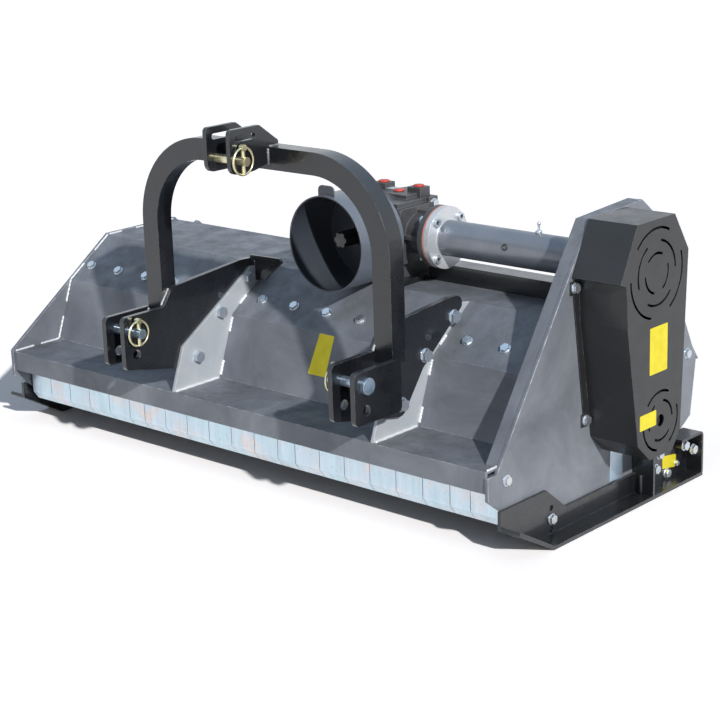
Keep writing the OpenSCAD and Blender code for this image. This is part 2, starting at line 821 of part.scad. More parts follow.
// linch pin through a link pin, with its ring closed round the link pin's end
module linch(x, p) {
    translate([x, p[0], p[1]]) {
        translate([0, 0, -ring_r]) cylinder(r = linch_r, h = 2 * ring_r);
        rotate([0, 90, 0]) translate([-ring_r, 0, -linch_r * 1.3])
            cylinder(r = linch_r * 1.5, h = linch_r * 2.6);
        rotate([0, 90, 0]) rotate_extrude() translate([ring_r, 0]) circle(r = wire_r);
    }
}

module linch_pins() {
    color([0.72, 0.62, 0.32]) {
        for (s = [0, 1]) hitch_side(s) linch(linch_x, link_hole);
        translate([hitch_x, 0, 0]) linch(top_linch_x, top_hole);
    }
}

gasket_x = hitch_x + neck_len;
flange_x = gasket_x + gasket_t;
flange_bolt_r = flange_r * 0.83;
flange_bolts = [for (a = row_angles) drive + flange_bolt_r * [cos(a), sin(a)]];
box_y0 = drive_y - box_front;
box_base_z = deck_z + mount_t;
cavity_r = box_r - box_wall;
crown_r = cavity_r - crown_gap;
box_half = box_r * 1.04;
lid_z = drive_z + box_r * 0.9;
box_y1 = drive_y + box_rear - box_wall;
plug_boss = box_wall * 3.4;
plug = [box_y1 - plug_boss / 2, lid_z - plug_boss / 2];

module gearbox_housing() {
    collar = box_points(drive - [neck_r, neck_r] * 1.35, drive + [neck_r, neck_r] * 1.35);
    color([0.1, 0.1, 0.11])
    difference() {
        union() {
            rod_y(hitch_x, box_y0, drive_z, box_r, box_front + box_rear);
            rod_y(hitch_x, drive_y + box_rear, drive_z, box_r * 0.7, box_wall * 1.5);
            rod_x(hitch_x, drive, neck_r, neck_len);
            rod_x(hitch_x + neck_len - flange_t, drive, flange_r, flange_t);
            rod_x(hitch_x - box_r - box_wall, drive, neck_r, box_r);
            rod_x(hitch_x - box_r - box_wall * 2, drive, neck_r * 0.8, box_wall);
            block([hitch_x - box_half, box_y0 + box_wall, box_base_z], [hitch_x + box_half, box_y1, lid_z]);
            block([hitch_x - box_r * 0.8, drive_y, lid_z],
                [hitch_x + box_r * 0.8, box_y1 - box_wall, lid_z + box_wall]);
            block([hitch_x + box_half, box_y1 - plug_boss, lid_z - plug_boss],
                [hitch_x + box_half + box_wall, box_y1, lid_z]);
            along_x(hitch_x, box_r + box_wall * 2) polygon(all_round(collar, box_wall));
            block([hitch_x + box_r, drive_y - box_wall / 2, drive_z],
                [hitch_x + neck_len - flange_t, drive_y + box_wall / 2, drive_z + neck_r + box_wall]);
            block([hitch_x + box_r, drive_y - neck_r - box_wall, drive_z - box_wall / 2],
                [hitch_x + neck_len - flange_t, drive_y + neck_r + box_wall, drive_z + box_wall / 2]);
        }
        rod_y(hitch_x, box_y0 + bearing_w, drive_z, cavity_r, box_front + box_rear - bearing_w - box_wall);
        rod_y(hitch_x, box_y0 - over, drive_z, bearing_r, bearing_w + 2 * over);
        rod_x(hitch_x, drive, bearing_r, neck_len + over);
        for (p = flange_bolts)
            rod_x(gasket_x - flange_t - over, p, bolt_r + bolt_fit, flange_t + 2 * over);
        rod_x(hitch_x + box_half, plug, bolt_r + bolt_fit, box_wall + over);
        rod_x(hitch_x + box_half + box_wall, plug, bolt_r * washer_share + over, box_wall * 2);
    }
}

module gearbox_mount() {
    beam_y = drive_y + beam_d * 0.5;
    beam_x = hitch_x + box_r * 1.3;
    color([0.1, 0.1, 0.11]) {
        block([hitch_x - box_r * 1.3, box_y0, deck_z], [beam_x, drive_y + box_rear + mount_t, box_base_z]);
        translate([beam_x, beam_y, deck_z])
            difference() {
                cube([in_w - beam_x, beam_d, beam_h]);
                translate([-over, sheet_t, sheet_t])
                    cube([in_w - beam_x + 2 * over, beam_d - 2 * sheet_t, beam_h - 2 * sheet_t]);
            }
    }
}

module pto_shield() {
    y0 = box_y0 - shield_len;
    tab_w = shield_r * 0.44;
    tab = box_points([-tab_w / 2, shield_r - shield_t * 4], [tab_w / 2, shield_r * 1.2]);
    color([0.16, 0.17, 0.19])
    difference() {
        union() {
            rod_y(hitch_x, y0, drive_z, shield_r, shield_len);
            translate([hitch_x, y0 + shield_t * 4, drive_z]) rotate([90, 0, 0]) linear_extrude(shield_t)
                polygon(rounded(tab, [0, tab_w / 4, tab_w / 4, 0]));
        }
        rod_y(hitch_x, y0 - over, drive_z, shield_r - shield_t, shield_len - shield_t + over);
        rod_y(hitch_x, y0, drive_z, bearing_r * 1.1, shield_len + over);
    }
}

bevel_back = crown_r / bevel_ratio;
pinion_r = crown_r / bevel_ratio;
bevel_inner_share = 0.7;

module input_shaft() {
    spline_y = box_y0 - spline_len - shield_t * 5;
    root_r = spline_r * 0.84;
    tooth_w = spline_r * 0.5;
    y0 = spline_y + spline_len;
    crown_y = drive_y - bevel_back - belt_gap;
    crown_t = bevel_back * 0.9;
    share = bevel_inner_share;
    color([0.62, 0.64, 0.66]) {
        rod_y(hitch_x, spline_y, drive_z, root_r, spline_len);
        for (i = [0 : splines - 1])
            translate([hitch_x, spline_y, drive_z]) rotate([-90, 0, 0]) rotate(i * 360 / splines)
                translate([0, -tooth_w / 2, 0]) cube([spline_r, tooth_w, spline_len]);
        rod_y(hitch_x, y0, drive_z, input_r, crown_y - y0);
        translate([hitch_x, crown_y, drive_z]) rotate([90, 0, 0]) rotate_extrude()
            polygon([[0, bevel_back * (share - 1)], [crown_r * share, bevel_back * (share - 1)],
                [crown_r, 0], [crown_r, crown_t / 2], [input_r * 1.4, crown_t], [0, crown_t]]);
    }
}

module cross_shaft() {
    pinion_x = hitch_x + crown_r + belt_gap;
    share = bevel_inner_share;
    color([0.62, 0.64, 0.66]) {
        rod_x(pinion_x, drive, cross_r, pulley_x + pulley_w - pinion_x);
        turned_x(pinion_x, drive)
            polygon([[0, crown_r * (share - 1)], [pinion_r * share, crown_r * (share - 1)],
                [pinion_r, 0], [pinion_r, pinion_r * 0.6], [0, pinion_r * 0.6]]);
    }
}

module bearing_ring(r_out, r_in, length) {
    rotate_extrude() translate([r_in, 0]) square([r_out - r_in, length]);
}

module shaft_bearings() {
    color([0.6, 0.61, 0.63]) {
        translate([hitch_x, box_y0, drive_z]) rotate([-90, 0, 0])
            bearing_ring(bearing_r, input_r + run_fit, bearing_w);
        translate([gasket_x - bearing_w * 2, drive_y, drive_z]) rotate([0, 90, 0])
            bearing_ring(bearing_r, cross_r + run_fit, bearing_w);
        translate([half_w - bearing_w, drive_y, drive_z]) rotate([0, 90, 0])
            bearing_ring(tube_r - tube_wall, cross_r + run_fit, bearing_w);
    }
}

module drive_tube() {
    color([0.42, 0.45, 0.5])
    difference() {
        union() {
            rod_x(flange_x, drive, flange_r, flange_t);
            rod_x(flange_x, drive, tube_r, half_w + flange_t - flange_x);
            rod_x(half_w, drive, flange_r * 0.88, flange_t * 0.6);
        }
        rod_x(flange_x - over, drive, tube_r - tube_wall, half_w + flange_t - flange_x + 2 * over);
        for (p = flange_bolts)
            rod_x(flange_x - over, p, bolt_r + bolt_fit, flange_t + 2 * over);
    }
}

module flange_gasket() {
    color([0.8, 0.22, 0.08])
    difference() {
        rod_x(gasket_x, drive, flange_r, gasket_t);
        rod_x(gasket_x - over, drive, bearing_r, gasket_t + 2 * over);
        for (p = flange_bolts)
            rod_x(gasket_x - over, p, bolt_r + bolt_fit, gasket_t + 2 * over);
    }
}

// grooved pulley from x, with a bore
module pulley(p, r, bore) {
    lean = tan(belt_angle);
    half = belt_w / 2 + belt_gap;
    depth = belt_t * 1.25;
    notches = [for (i = [0 : belts - 1]) let (c = pulley_w / 2 + (i - (belts - 1) / 2) * belt_pitch)
        each [[r, c - half], [r - depth, c - half + depth * lean],
            [r - depth, c + half - depth * lean], [r, c + half]]];
    turned_x(pulley_x, p)
        polygon(concat([[bore, 0], [r, 0]], notches, [[r, pulley_w], [bore, pulley_w]]));
}

module drive_pulley() {
    color([0.24, 0.24, 0.26]) pulley(drive, pulley_r, cross_r);
}

module rotor_pulley() {
    color([0.24, 0.24, 0.26]) pulley(rotor, small_r, stub_r);
}

// points of a belt's loop in y and z, at a depth under its outer face
function belt_loop(depth) = let (start = belt_line - 90 - belt_lean, wrap = 180 + 2 * belt_lean) concat(
    [for (i = [0 : belt_steps]) drive + turned([pulley_r - depth, 0], start + wrap * i / belt_steps)],
    [for (i = [0 : belt_steps])
        rotor + turned([small_r - depth, 0], start + wrap + (360 - wrap) * i / belt_steps)]);

module v_belts() {
    lean = belt_t * tan(belt_angle);
    rings = [[0, -belt_w / 2], [0, belt_w / 2], [belt_t, belt_w / 2 - lean], [belt_t, lean - belt_w / 2]];
    n = 2 * (belt_steps + 1);
    faces = [for (k = [0 : 3], i = [0 : n - 1])
        let (a = k * n, b = (k + 1) % 4 * n, j = (i + 1) % n) [a + i, b + i, b + j, a + j]];
    color([0.06, 0.06, 0.06])
    for (i = [0 : belts - 1])
        translate([belt_x + (i - (belts - 1) / 2) * belt_pitch, 0, 0])
            polyhedron([for (r = rings, p = belt_loop(r[0])) [r[1], p[0], p[1]]], faces);
}

// ring of three arc slots cut through the cover's face
module arc_slots(p, r, first) {
    for (i = [0 : 2])
        translate([half_w + cover_d - cover_t - over, p[0], p[1]]) rotate([90, 0, 90])
            rotate(first + i * 120) rotate_extrude(angle = 78) translate([r - slot_w / 2, 0])
                square([slot_w, cover_t + 2 * over]);
}

module belt_cover() {
    tab = bolt_r * 2.3;
    top_louvre = drive - [0, slot_w];
    low_louvre = rotor - [0, slot_w];
    color([0.12, 0.12, 0.13])
    difference() {
        union() {
            along_x(half_w, cover_d) polygon(cover_outline);
            for (p = cover_bolts)
                block([half_w, p[0] - tab * (p[0] > rotor_y ? 2 : 1), p[1] - tab],
                    [half_w + cover_t, p[0] + tab * (p[0] > rotor_y ? 1 : 2), p[1] + tab]);
            along_x(half_w, cover_t) {
                polygon([cover_bolts[0] - [bolt_r, 0], cover_bolts[0] + [tab * 2, 0],
                    cover_bolts[1] + [tab * 2, 0], cover_bolts[1] - [bolt_r, 0]]);
                polygon([cover_bolts[2] + [bolt_r, 0], cover_bolts[2] - [tab * 2, 0],
                    cover_bolts[3] - [tab * 2, 0], cover_bolts[3] + [bolt_r, 0]]);
            }
        }
        along_x(half_w - over, cover_d - cover_t + over) polygon(inset(cover_outline, cover_t));
        for (p = cover_bolts)
            rod_x(half_w - over, p, bolt_r + bolt_fit, cover_t + 2 * over);
        for (i = [0 : 2])
            arc_slots(top_louvre, slot_pitch * (3.6 - i), 61 + (i % 2) * 60);
        for (i = [0 : 1])
            arc_slots(low_louvre, slot_pitch * (2.45 - i * 0.8), 61 + (i % 2) * 60);
        rod_x(half_w + cover_d - cover_t - over, low_louvre, slot_w * 2.4, cover_t + 2 * over);
    }
}

// lug standing on the drum, drawn with its pivot along +x of the drawing
function lug_arc() = [for (i = [-round_steps : round_steps])
    [pivot_r + lug_r * cos(i * 80 / round_steps), lug_r * sin(i * 80 / round_steps)]];
lug_base = drum_r - drum_wall / 2;

module rotor_drum() {
    drum_x = in_w - drum_gap;
    boss_w = shank_w + 2 * lug_gap;
    left_end = half_w + bearing_h - bearing_t * 0.5;
    color([0.32, 0.3, 0.28])
    difference() {
        union() {
            rod_x(-drum_x, rotor, drum_r, 2 * drum_x);
            rod_x(-left_end, rotor, stub_r, left_end + pulley_x + pulley_w);
            for (row = [0 : 3], i = [0 : hammers - 1])
                translate([hammer_x(row, i), rotor[0], rotor[1]]) rotate([row_angles[row], 0, 0]) {
                    for (s = [0, 1]) mirror([s, 0, 0])
                        along_x(boss_w / 2, lug_t)
                            polygon(concat([[lug_base, -lug_r]], lug_arc(), [[lug_base, lug_r]]));
                    rod_x(-boss_w / 2 - lug_t * 1.6, [pivot_r, 0], hammer_pin_r, boss_w + lug_t * 3.2);
                }
        }
        difference() {
            rod_x(drum_wall - drum_x, rotor, drum_r - drum_wall, 2 * (drum_x - drum_wall));
            rod_x(-drum_x, rotor, stub_r, 2 * drum_x);
        }
        for (a = [0, 180])
            rod_x(-drum_x - over, rotor + (drum_r + stub_r - drum_wall) / 2 * [cos(a), sin(a)], bolt_r,
                2 * (drum_x + over));
    }
}

// hammer hanging from its pivot at the origin: side and front drawings meet in one forged shape
module hammer() {
    side_view = [
        [-eye_r * 0.9, 0], [-eye_r * 0.55, -hammer_len * 0.45], [-eye_r * 0.95, -hammer_len * 0.8],
        [-eye_r * 0.8, -hammer_len], [eye_r * 0.2, -hammer_len * 0.96], [eye_r * 0.95, -hammer_len * 0.72],
        [eye_r * 0.55, -hammer_len * 0.45], [eye_r * 0.9, 0]
    ];
    front_view = [
        [-shank_w / 2, 0], [-shank_w / 2, -hammer_len * 0.52], [-edge_w / 2, -hammer_len * 0.78],
        [-edge_w / 2, -hammer_len], [edge_w / 2, -hammer_len], [edge_w / 2, -hammer_len * 0.78],
        [shank_w / 2, -hammer_len * 0.52], [shank_w / 2, 0]
    ];
    difference() {
        union() {
            rod_x(-shank_w / 2, [0, 0], eye_r, shank_w);
            intersection() {
                along_x(-edge_w / 2, edge_w) polygon(side_view);
                translate([0, eye_r, 0]) rotate([90, 0, 0]) linear_extrude(2 * eye_r) polygon(front_view);
            }
        }
        rod_x(-shank_w / 2 - over, [0, 0], hammer_pin_r + run_fit, shank_w + 2 * over);
    }
}

module hammer_row(row) {
    p = row_pivot(row);
    color([0.28, 0.27, 0.27])
    for (i = [0 : hammers - 1])
        translate([hammer_x(row, i), p[0], p[1]]) hammer();
}

module hammers_row_a() { hammer_row(0); }
module hammers_row_b() { hammer_row(1); }
module hammers_row_c() { hammer_row(2); }
module hammers_row_d() { hammer_row(3); }

module rotor_bearings() {
    half = bearing_sq / 2;
    outline = [rotor - [half, half], rotor + [-half, half], rotor + [half, half], rotor + [half, -half]];
    color([0.3, 0.31, 0.33])
    for (s = [0, 1]) mirror([s, 0, 0])
        difference() {
            union() {
                along_x(half_w, bearing_t) polygon(all_round(outline, bearing_t));
                rod_x(half_w, rotor, bearing_sq * 0.38, bearing_h);
            }
            rod_x(half_w - over, rotor, stub_r + run_fit,
                bearing_h + over - s * bearing_t * 0.3 + (1 - s) * over);
            for (p = bearing_bolts)
                rod_x(half_w - over, p, bolt_r + bolt_fit, bearing_t + 2 * over);
        }
}

module counter_blade() {
    face = p_bolt - panel_n * (sheet_t + run_fit);
    low = face - panel_u * blade_d / 2;
    high = face + panel_u * blade_d / 2;
    color([0.4, 0.4, 0.42])
    difference() {
        along_x(washer_t - in_w, 2 * (in_w - washer_t))
            polygon([low, low - panel_n * blade_t * 2.4, low + panel_u * blade_t - panel_n * blade_t * 2.4,
                low + (panel_u - panel_n) * blade_t, high - panel_n * blade_t, high]);
        panel_row() translate([0, 0, -sheet_t - blade_t - over])
            cylinder(r = panel_bolt_r + bolt_fit, h = blade_t + 2 * over);
    }
}

module flap_rod() {
    color([0.6, 0.62, 0.65]) {
        rod_x(-half_w, rod, rod_r, deck_w);
        for (s = [0, 1]) mirror([s, 0, 0]) {
            rod_x(half_w, rod, rod_r * 2, washer_t);
            translate([half_w + washer_t, rod[0], rod[1]]) rotate([0, 90, 0])
                cylinder(r = rod_r * 1.6, h = rod_r, $fn = 6);
        }
    }
}

// flap with an eye on the rod, a flat blade at its front and a foot bent inward
module flap(i) {
    eye = rod_r + flap_t;
    x = flap_x(i) + flap_gap / 2;
    width = flap_width(i) - flap_gap;
    front = rod_y - eye;
    path = [[front, rod_z], [front, flap_z + flap_foot], [front + flap_foot * 0.7, flap_z]];
    color([0.78, 0.82, 0.88])
    difference() {
        union() {
            rod_x(x, rod, eye, width);
            along_x(x, width) polygon(concat(path, back(shifted(path, flap_t))));
        }
        rod_x(x - over, rod, rod_r + run_fit, width + 2 * over);
    }
}

module skid(s) {
    front_top = skid_y + skid_front_d;
    toe = skid_y + skid_rise_d;
    web = [
        [skid_y, skid_nose], [skid_y, skid_front_h], [front_top, skid_front_h],
        [front_top + skid_slope_d, skid_h], [bracket_y, skid_h], [bracket_y, skid_rear_h],
        [skid_end, skid_rear_h], [skid_end, 0], [toe, 0]
    ];
    foot = [[skid_y, skid_nose], [toe, 0], [skid_end, 0]];
    color([0.11, 0.11, 0.12])
    mirror([s, 0, 0])
        difference() {
            union() {
                along_x(half_w, skid_t) polygon(web);
                along_x(half_w, skid_t + foot_w) polygon(concat(foot, back(shifted(foot, skid_t))));
            }
            for (p = concat(bracket_bolts, [for (k = [-1 : 1]) skid_bolt + [0, k * skid_t * 3]]))
                rod_x(half_w - over, p, bolt_r + bolt_fit, skid_t + 2 * over);
            rod_x(half_w - over, roller, axle_r + run_fit, skid_t + 2 * over);
        }
}

module left_skid() { skid(1); }
module right_skid() { skid(0); }

stud_len = foot_w * 0.72;

module rear_roller() {
    half = in_w - roller_gap;
    reach = bracket_x - bolt_fit;
    color([0.11, 0.11, 0.12])
    difference() {
        union() {
            rod_x(-half, roller, roller_r, 2 * half);
            rod_x(-reach, roller, axle_r, 2 * reach);
        }
        difference() {
            rod_x(roller_wall - half, roller, roller_r - roller_wall, 2 * (half - roller_wall));
            rod_x(-half, roller, axle_r, 2 * half);
        }
        for (a = [0, 180])
            rod_x(-half - over, roller + (roller_r + axle_r) / 2 * [cos(a), sin(a)], bolt_r,
                2 * (half + over));
    }
}

// open tray on a skid's rear end, with two sleeves for long screws
module roller_brackets() {
    y1 = bracket_y + bracket_len;
    step_y = bracket_y + bracket_len * 0.56;
    low_z = bracket_h * 0.89;
    wall = concat([[step_y, bracket_h]],
        corner([step_y, bracket_h], [y1, bracket_h], [y1, skid_t], bracket_t * 2), [[y1, skid_t]]);
    outline = concat(
        [[bracket_y, skid_t], [bracket_y, low_z], [bracket_y + bracket_len * 0.53, low_z]], wall);
    color([0.11, 0.11, 0.12])
    for (s = [0, 1]) mirror([s, 0, 0])
        difference() {
            union() {
                along_x(bracket_x, bracket_t) polygon(outline);
                along_x(bracket_x, foot_w) polygon(sheet(wall, bracket_t));
                block([bracket_x, bracket_y, skid_t], [bracket_x + foot_w, bracket_y + bracket_t, low_z]);
                for (p = bracket_studs) rod_x(bracket_x, p, bolt_r * 1.5, stud_len);
            }
            for (p = bracket_bolts)
                rod_x(bracket_x - over, p, bolt_r + bolt_fit, bracket_t + 2 * over);
            for (p = bracket_studs)
                rod_x(bracket_x - over, p, bolt_r + bolt_fit, stud_len + 2 * over);
        }
}

module rear_hood() {
    bar = lug_x - lug_gap;
    path = [hood_hinge, hood_bend, hood_end];
    notch = [hood_hinge - [hood_r * 2, hood_r * 2], hood_hinge + [hood_r * 2, hood_r * 2]];
    color([0.5, 0.51, 0.53]) {
        rod_x(-bar, hood_hinge, hood_r, 2 * bar);
        rod_x(-bar - lug_gap - end_t, hood_hinge, hood_pin_r, 2 * (bar + lug_gap + end_t));
        difference() {
            along_x(-hood_half, 2 * hood_half) polygon(sheet(path, hood_t));
            for (s = [0, 1]) mirror([s, 0, 0])
                block([bar, notch[0][0], notch[0][1]], [hood_half + over, notch[1][0], notch[1][1]]);
        }
    }
}

module panel_bolts() {
    color([0.7, 0.72, 0.75]) panel_row() bolt(panel_bolt_r, sheet_t + run_fit + blade_t);
}

module frame_bolts() {
    color([0.7, 0.72, 0.75]) {
        for (s = [0, 1]) {
            hitch_side(s) for (p = hitch_bolts) bolt_x(arm_x, p, hitch_bolt_r, arm_t + gusset_t);
            mirror([s, 0, 0]) {
                bolt_x(bracket_x, skid_bolt, bolt_r, skid_t + end_t);
                bolt_x(half_w, hood_bolt, bolt_r, end_t);
                for (p = bracket_bolts) bolt_x(bracket_x + bracket_t, p, bolt_r, bracket_t + skid_t + end_t);
                for (p = bracket_studs) at_x(bracket_x + stud_len, p) screw(bolt_r, stud_len);
                for (p = bearing_bolts) bolt_x(half_w + bearing_t, p, bolt_r, bearing_t + end_t);
            }
        }
        for (p = flange_bolts) at_x(flange_x + flange_t, p) cap_bolt(bolt_r, 2 * flange_t + gasket_t);
        at_x(hitch_x + box_half + box_wall, plug) screw(bolt_r, box_wall);
        for (p = cover_bolts) bolt_x(half_w + cover_t, p, bolt_r, cover_t + end_t);
    }
}

// moves the machine so that the origin is at the bottom centre of its box
module place() {
    translate([-centre_x, -centre_y, 0]) children();
}

place() deck_shell();
place() left_end_plate();
place() right_end_plate();
place() hitch_gussets();
place() hitch_hoop();
place() left_hitch_plate();
place() right_hitch_plate();
place() hitch_cheeks();
place() top_link_plates();
place() lower_link_pins();
place() top_link_pin();
place() linch_pins();
place() gearbox_housing();
place() gearbox_mount();
place() pto_shield();
place() input_shaft();
place() cross_shaft();
place() shaft_bearings();
place() drive_tube();
place() flange_gasket();
place() drive_pulley();
place() rotor_pulley();
place() v_belts();
place() belt_cover();
place() rotor_drum();
place() hammers_row_a();
place() hammers_row_b();
place() hammers_row_c();
place() hammers_row_d();
place() rotor_bearings();
place() counter_blade();
place() flap_rod();
place() left_skid();
place() right_skid();
place() rear_roller();
place() roller_brackets();
place() rear_hood();
place() panel_bolts();
place() frame_bolts();
place() flap(0);  // flap_01
place() flap(1);  // flap_02
place() flap(2);  // flap_03
place() flap(3);  // flap_04
place() flap(4);  // flap_05
place() flap(5);  // flap_06
place() flap(6);  // flap_07
place() flap(7);  // flap_08
place() flap(8);  // flap_09
place() flap(9);  // flap_10
place() flap(10);  // flap_11
place() flap(11);  // flap_12
place() flap(12);  // flap_13
place() flap(13);  // flap_14
place() flap(14);  // flap_15
place() flap(15);  // flap_16
place() flap(16);  // flap_17
place() flap(17);  // flap_18
place() flap(18);  // flap_19
place() flap(19);  // flap_20
place() flap(20);  // flap_21
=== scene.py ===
import math

import bmesh
import bpy
from mathutils import Matrix, Vector


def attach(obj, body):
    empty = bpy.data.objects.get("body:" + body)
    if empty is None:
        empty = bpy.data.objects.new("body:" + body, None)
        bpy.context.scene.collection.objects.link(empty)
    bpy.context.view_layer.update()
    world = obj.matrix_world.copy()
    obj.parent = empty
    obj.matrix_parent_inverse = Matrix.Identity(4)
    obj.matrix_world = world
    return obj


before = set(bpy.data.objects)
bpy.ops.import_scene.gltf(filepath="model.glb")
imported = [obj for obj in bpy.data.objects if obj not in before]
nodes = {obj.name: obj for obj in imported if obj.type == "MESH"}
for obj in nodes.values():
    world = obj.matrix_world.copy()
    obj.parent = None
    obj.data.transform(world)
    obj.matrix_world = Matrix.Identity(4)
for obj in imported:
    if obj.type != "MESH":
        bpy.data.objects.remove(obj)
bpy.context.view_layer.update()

# the drawing's own coordinates in mm, x from the deck's middle, y from its lip, z from the ground
SHIFT = Vector((32.0, 329.753, 0.0))
MM = 1000.0
X, Y, Z = range(3)
LOW, HIGH = range(2)


def at(x, y, z):
    """A place of the drawing, in the frame's metres."""
    return (Vector((x, y, z)) - SHIFT) / MM


def reach(name, axis, end):
    """How far a CAD node reaches along an axis, in the drawing's mm."""
    places = [corner[axis] * MM + SHIFT[axis] for corner in nodes[name].bound_box]
    return round((min, max)[end](places), 3)


def middle(name, axis):
    """Middle of a CAD node along an axis, in the drawing's mm."""
    return (reach(name, axis, LOW) + reach(name, axis, HIGH)) / 2


# thicknesses and a radius of the drawing that no outer face gives, in mm
GUSSET_T, LINK_T, FLANGE_T, LID_T, SKID_T, BRACKET_T = 8.0, 10.0, 14.0, 9.0, 8.0, 6.0
TUBE_R = 40.0

# faces and axes that the small pieces follow, in mm; those of the hitch are distances from its middle
HITCH_X = middle("hitch_hoop", X)
ARM_OUT = reach("right_hitch_plate", X, HIGH) - HITCH_X
ARM_T = reach("right_hitch_plate", X, HIGH) - reach("right_hitch_plate", X, LOW)
CHEEK_IN = reach("hitch_cheeks", X, HIGH) - HITCH_X - ARM_T
LINK_OUT = reach("top_link_plates", X, HIGH) - HITCH_X
HOOP_REAR = reach("hitch_hoop", Y, HIGH)
HOOP_TOP = reach("hitch_hoop", Z, HIGH)
LEDGE_Z = reach("hitch_gussets", Z, LOW)
DECK_X = reach("deck_shell", X, HIGH)
DECK_TOP = reach("deck_shell", Z, HIGH)
DRIVE_Y, DRIVE_Z = middle("drive_tube", Y), middle("drive_tube", Z)
FLANGE_X = reach("drive_tube", X, LOW) + FLANGE_T
COVER_X = reach("belt_cover", X, HIGH)
LID_TOP = reach("gearbox_housing", Z, HIGH)
END_X = reach("right_end_plate", X, HIGH)
BRACKET_X = END_X + SKID_T + BRACKET_T


# materials


class Tree:
    """A material's node tree, with one short call for each kind of node."""

    def __init__(self, name):
        self.mat = bpy.data.materials.new(name)
        self.mat.use_nodes = True
        self.nodes = self.mat.node_tree.nodes
        self.links = self.mat.node_tree.links
        self.nodes.clear()
        self.shader = self.nodes.new("ShaderNodeBsdfPrincipled")
        out = self.nodes.new("ShaderNodeOutputMaterial")
        self.links.new(self.shader.outputs[0], out.inputs[0])
        self.coords = self.nodes.new("ShaderNodeTexCoord").outputs["Object"]

    def put(self, socket, value):
        if isinstance(value, bpy.types.NodeSocket):
            self.links.new(value, socket)
        else:
            socket.default_value = value

    def noise(self, scale, detail=3.0, rough=0.55, stretch=None, warp=0.0):
        n = self.nodes.new("ShaderNodeTexNoise")
        n.inputs["Scale"].default_value = scale
        n.inputs["Detail"].default_value = detail
        n.inputs["Roughness"].default_value = rough
        n.inputs["Distortion"].default_value = warp
        if stretch:
            m = self.nodes.new("ShaderNodeMapping")
            m.inputs["Scale"].default_value = stretch
            self.links.new(self.coords, m.inputs["Vector"])
            self.links.new(m.outputs[0], n.inputs["Vector"])
        else:
            self.links.new(self.coords, n.inputs["Vector"])
        return n.outputs["Fac"]

    def ramp(self, fac, *stops):
        """Stops are pairs of a position and a grey level or a colour."""
        n = self.nodes.new("ShaderNodeValToRGB")
        e = n.color_ramp.elements
        while len(e) < len(stops):
            e.new(0.5)
        for i, (pos, c) in enumerate(stops):
            e[i].position = pos
            e[i].color = (c, c, c, 1) if isinstance(c, float) else (*c, 1)
        self.links.new(fac, n.inputs[0])
        return n.outputs[0]

    def math(self, op, a, b):
        n = self.nodes.new("ShaderNodeMath")
        n.operation = op
        n.use_clamp = True
        self.put(n.inputs[0], a)
        self.put(n.inputs[1], b)
        return n.outputs[0]

    def vector(self, op, a, b):
        n = self.nodes.new("ShaderNodeVectorMath")
        n.operation = op
        self.put(n.inputs[0], a)
        self.put(n.inputs[1], b)
        return n.outputs["Value" if op == "DOT_PRODUCT" else "Vector"]

    def mix(self, fac, a, b, blend="MIX"):
        n = self.nodes.new("ShaderNodeMix")
        n.data_type = "RGBA"
        n.blend_type = blend
        self.put(n.inputs[0], fac)
        self.put(n.inputs[6], a if isinstance(a, bpy.types.NodeSocket) else (*a, 1))
        self.put(n.inputs[7], b if isinstance(b, bpy.types.NodeSocket) else (*b, 1))
        return n.outputs[2]

    def normal(self):
        return self.nodes.new("ShaderNodeNewGeometry").outputs["Normal"]

    def part(self, vector, axis):
        n = self.nodes.new("ShaderNodeSeparateXYZ")
        self.links.new(vector, n.inputs[0])
        return n.outputs[axis]

    def rounded(self, radius):
        """Normal with rounded edges; the radius is in metres."""
        b = self.nodes.new("ShaderNodeBevel")
        b.samples = 6
        b.inputs["Radius"].default_value = radius
        return b.outputs[0]

    def near_edge(self, rounded):
        """How near the surface is to an edge, from 0 to 1."""
        return self.ramp(self.vector("DOT_PRODUCT", rounded, self.normal()), (0.88, 1.0), (0.993, 0.0))

    def upward(self):
        return self.ramp(self.part(self.normal(), "Z"), (0.35, 0.0), (0.95, 1.0))

    def before(self, x):
        """1 where the drawing's x in mm is below a value, else 0."""
        edge, soft = at(x, 0, 0).x, 0.0005
        return self.ramp(self.part(self.coords, "X"), (edge - soft, 1.0), (edge + soft, 0.0))

    def inside(self, x, z):
        """1 on faces that look toward an axis along y through x and z in mm, else 0."""
        off = self.vector("SUBTRACT", self.coords, at(x, 0, z))
        across = self.vector("MULTIPLY", off, (10.0, 0.0, 10.0))
        return self.ramp(self.vector("DOT_PRODUCT", across, self.normal()), (0.0, 1.0), (0.2, 0.0))

    def bump(self, height, strength, distance, normal):
        n = self.nodes.new("ShaderNodeBump")
        n.inputs["Strength"].default_value = strength
        n.inputs["Distance"].default_value = distance
        self.links.new(height, n.inputs["Height"])
        self.links.new(normal, n.inputs["Normal"])
        return n.outputs[0]

    def finish(self, color, rough, normal, metallic=0.0, coat=0.0, specular=0.5):
        s = self.shader.inputs
        self.put(s["Base Color"], color)
        self.put(s["Roughness"], rough)
        self.put(s["Normal"], normal)
        s["Metallic"].default_value = metallic
        s["Coat Weight"].default_value = coat
        s["Coat Roughness"].default_value = 0.08
        s["Specular IOR Level"].default_value = specular
        return self.mat


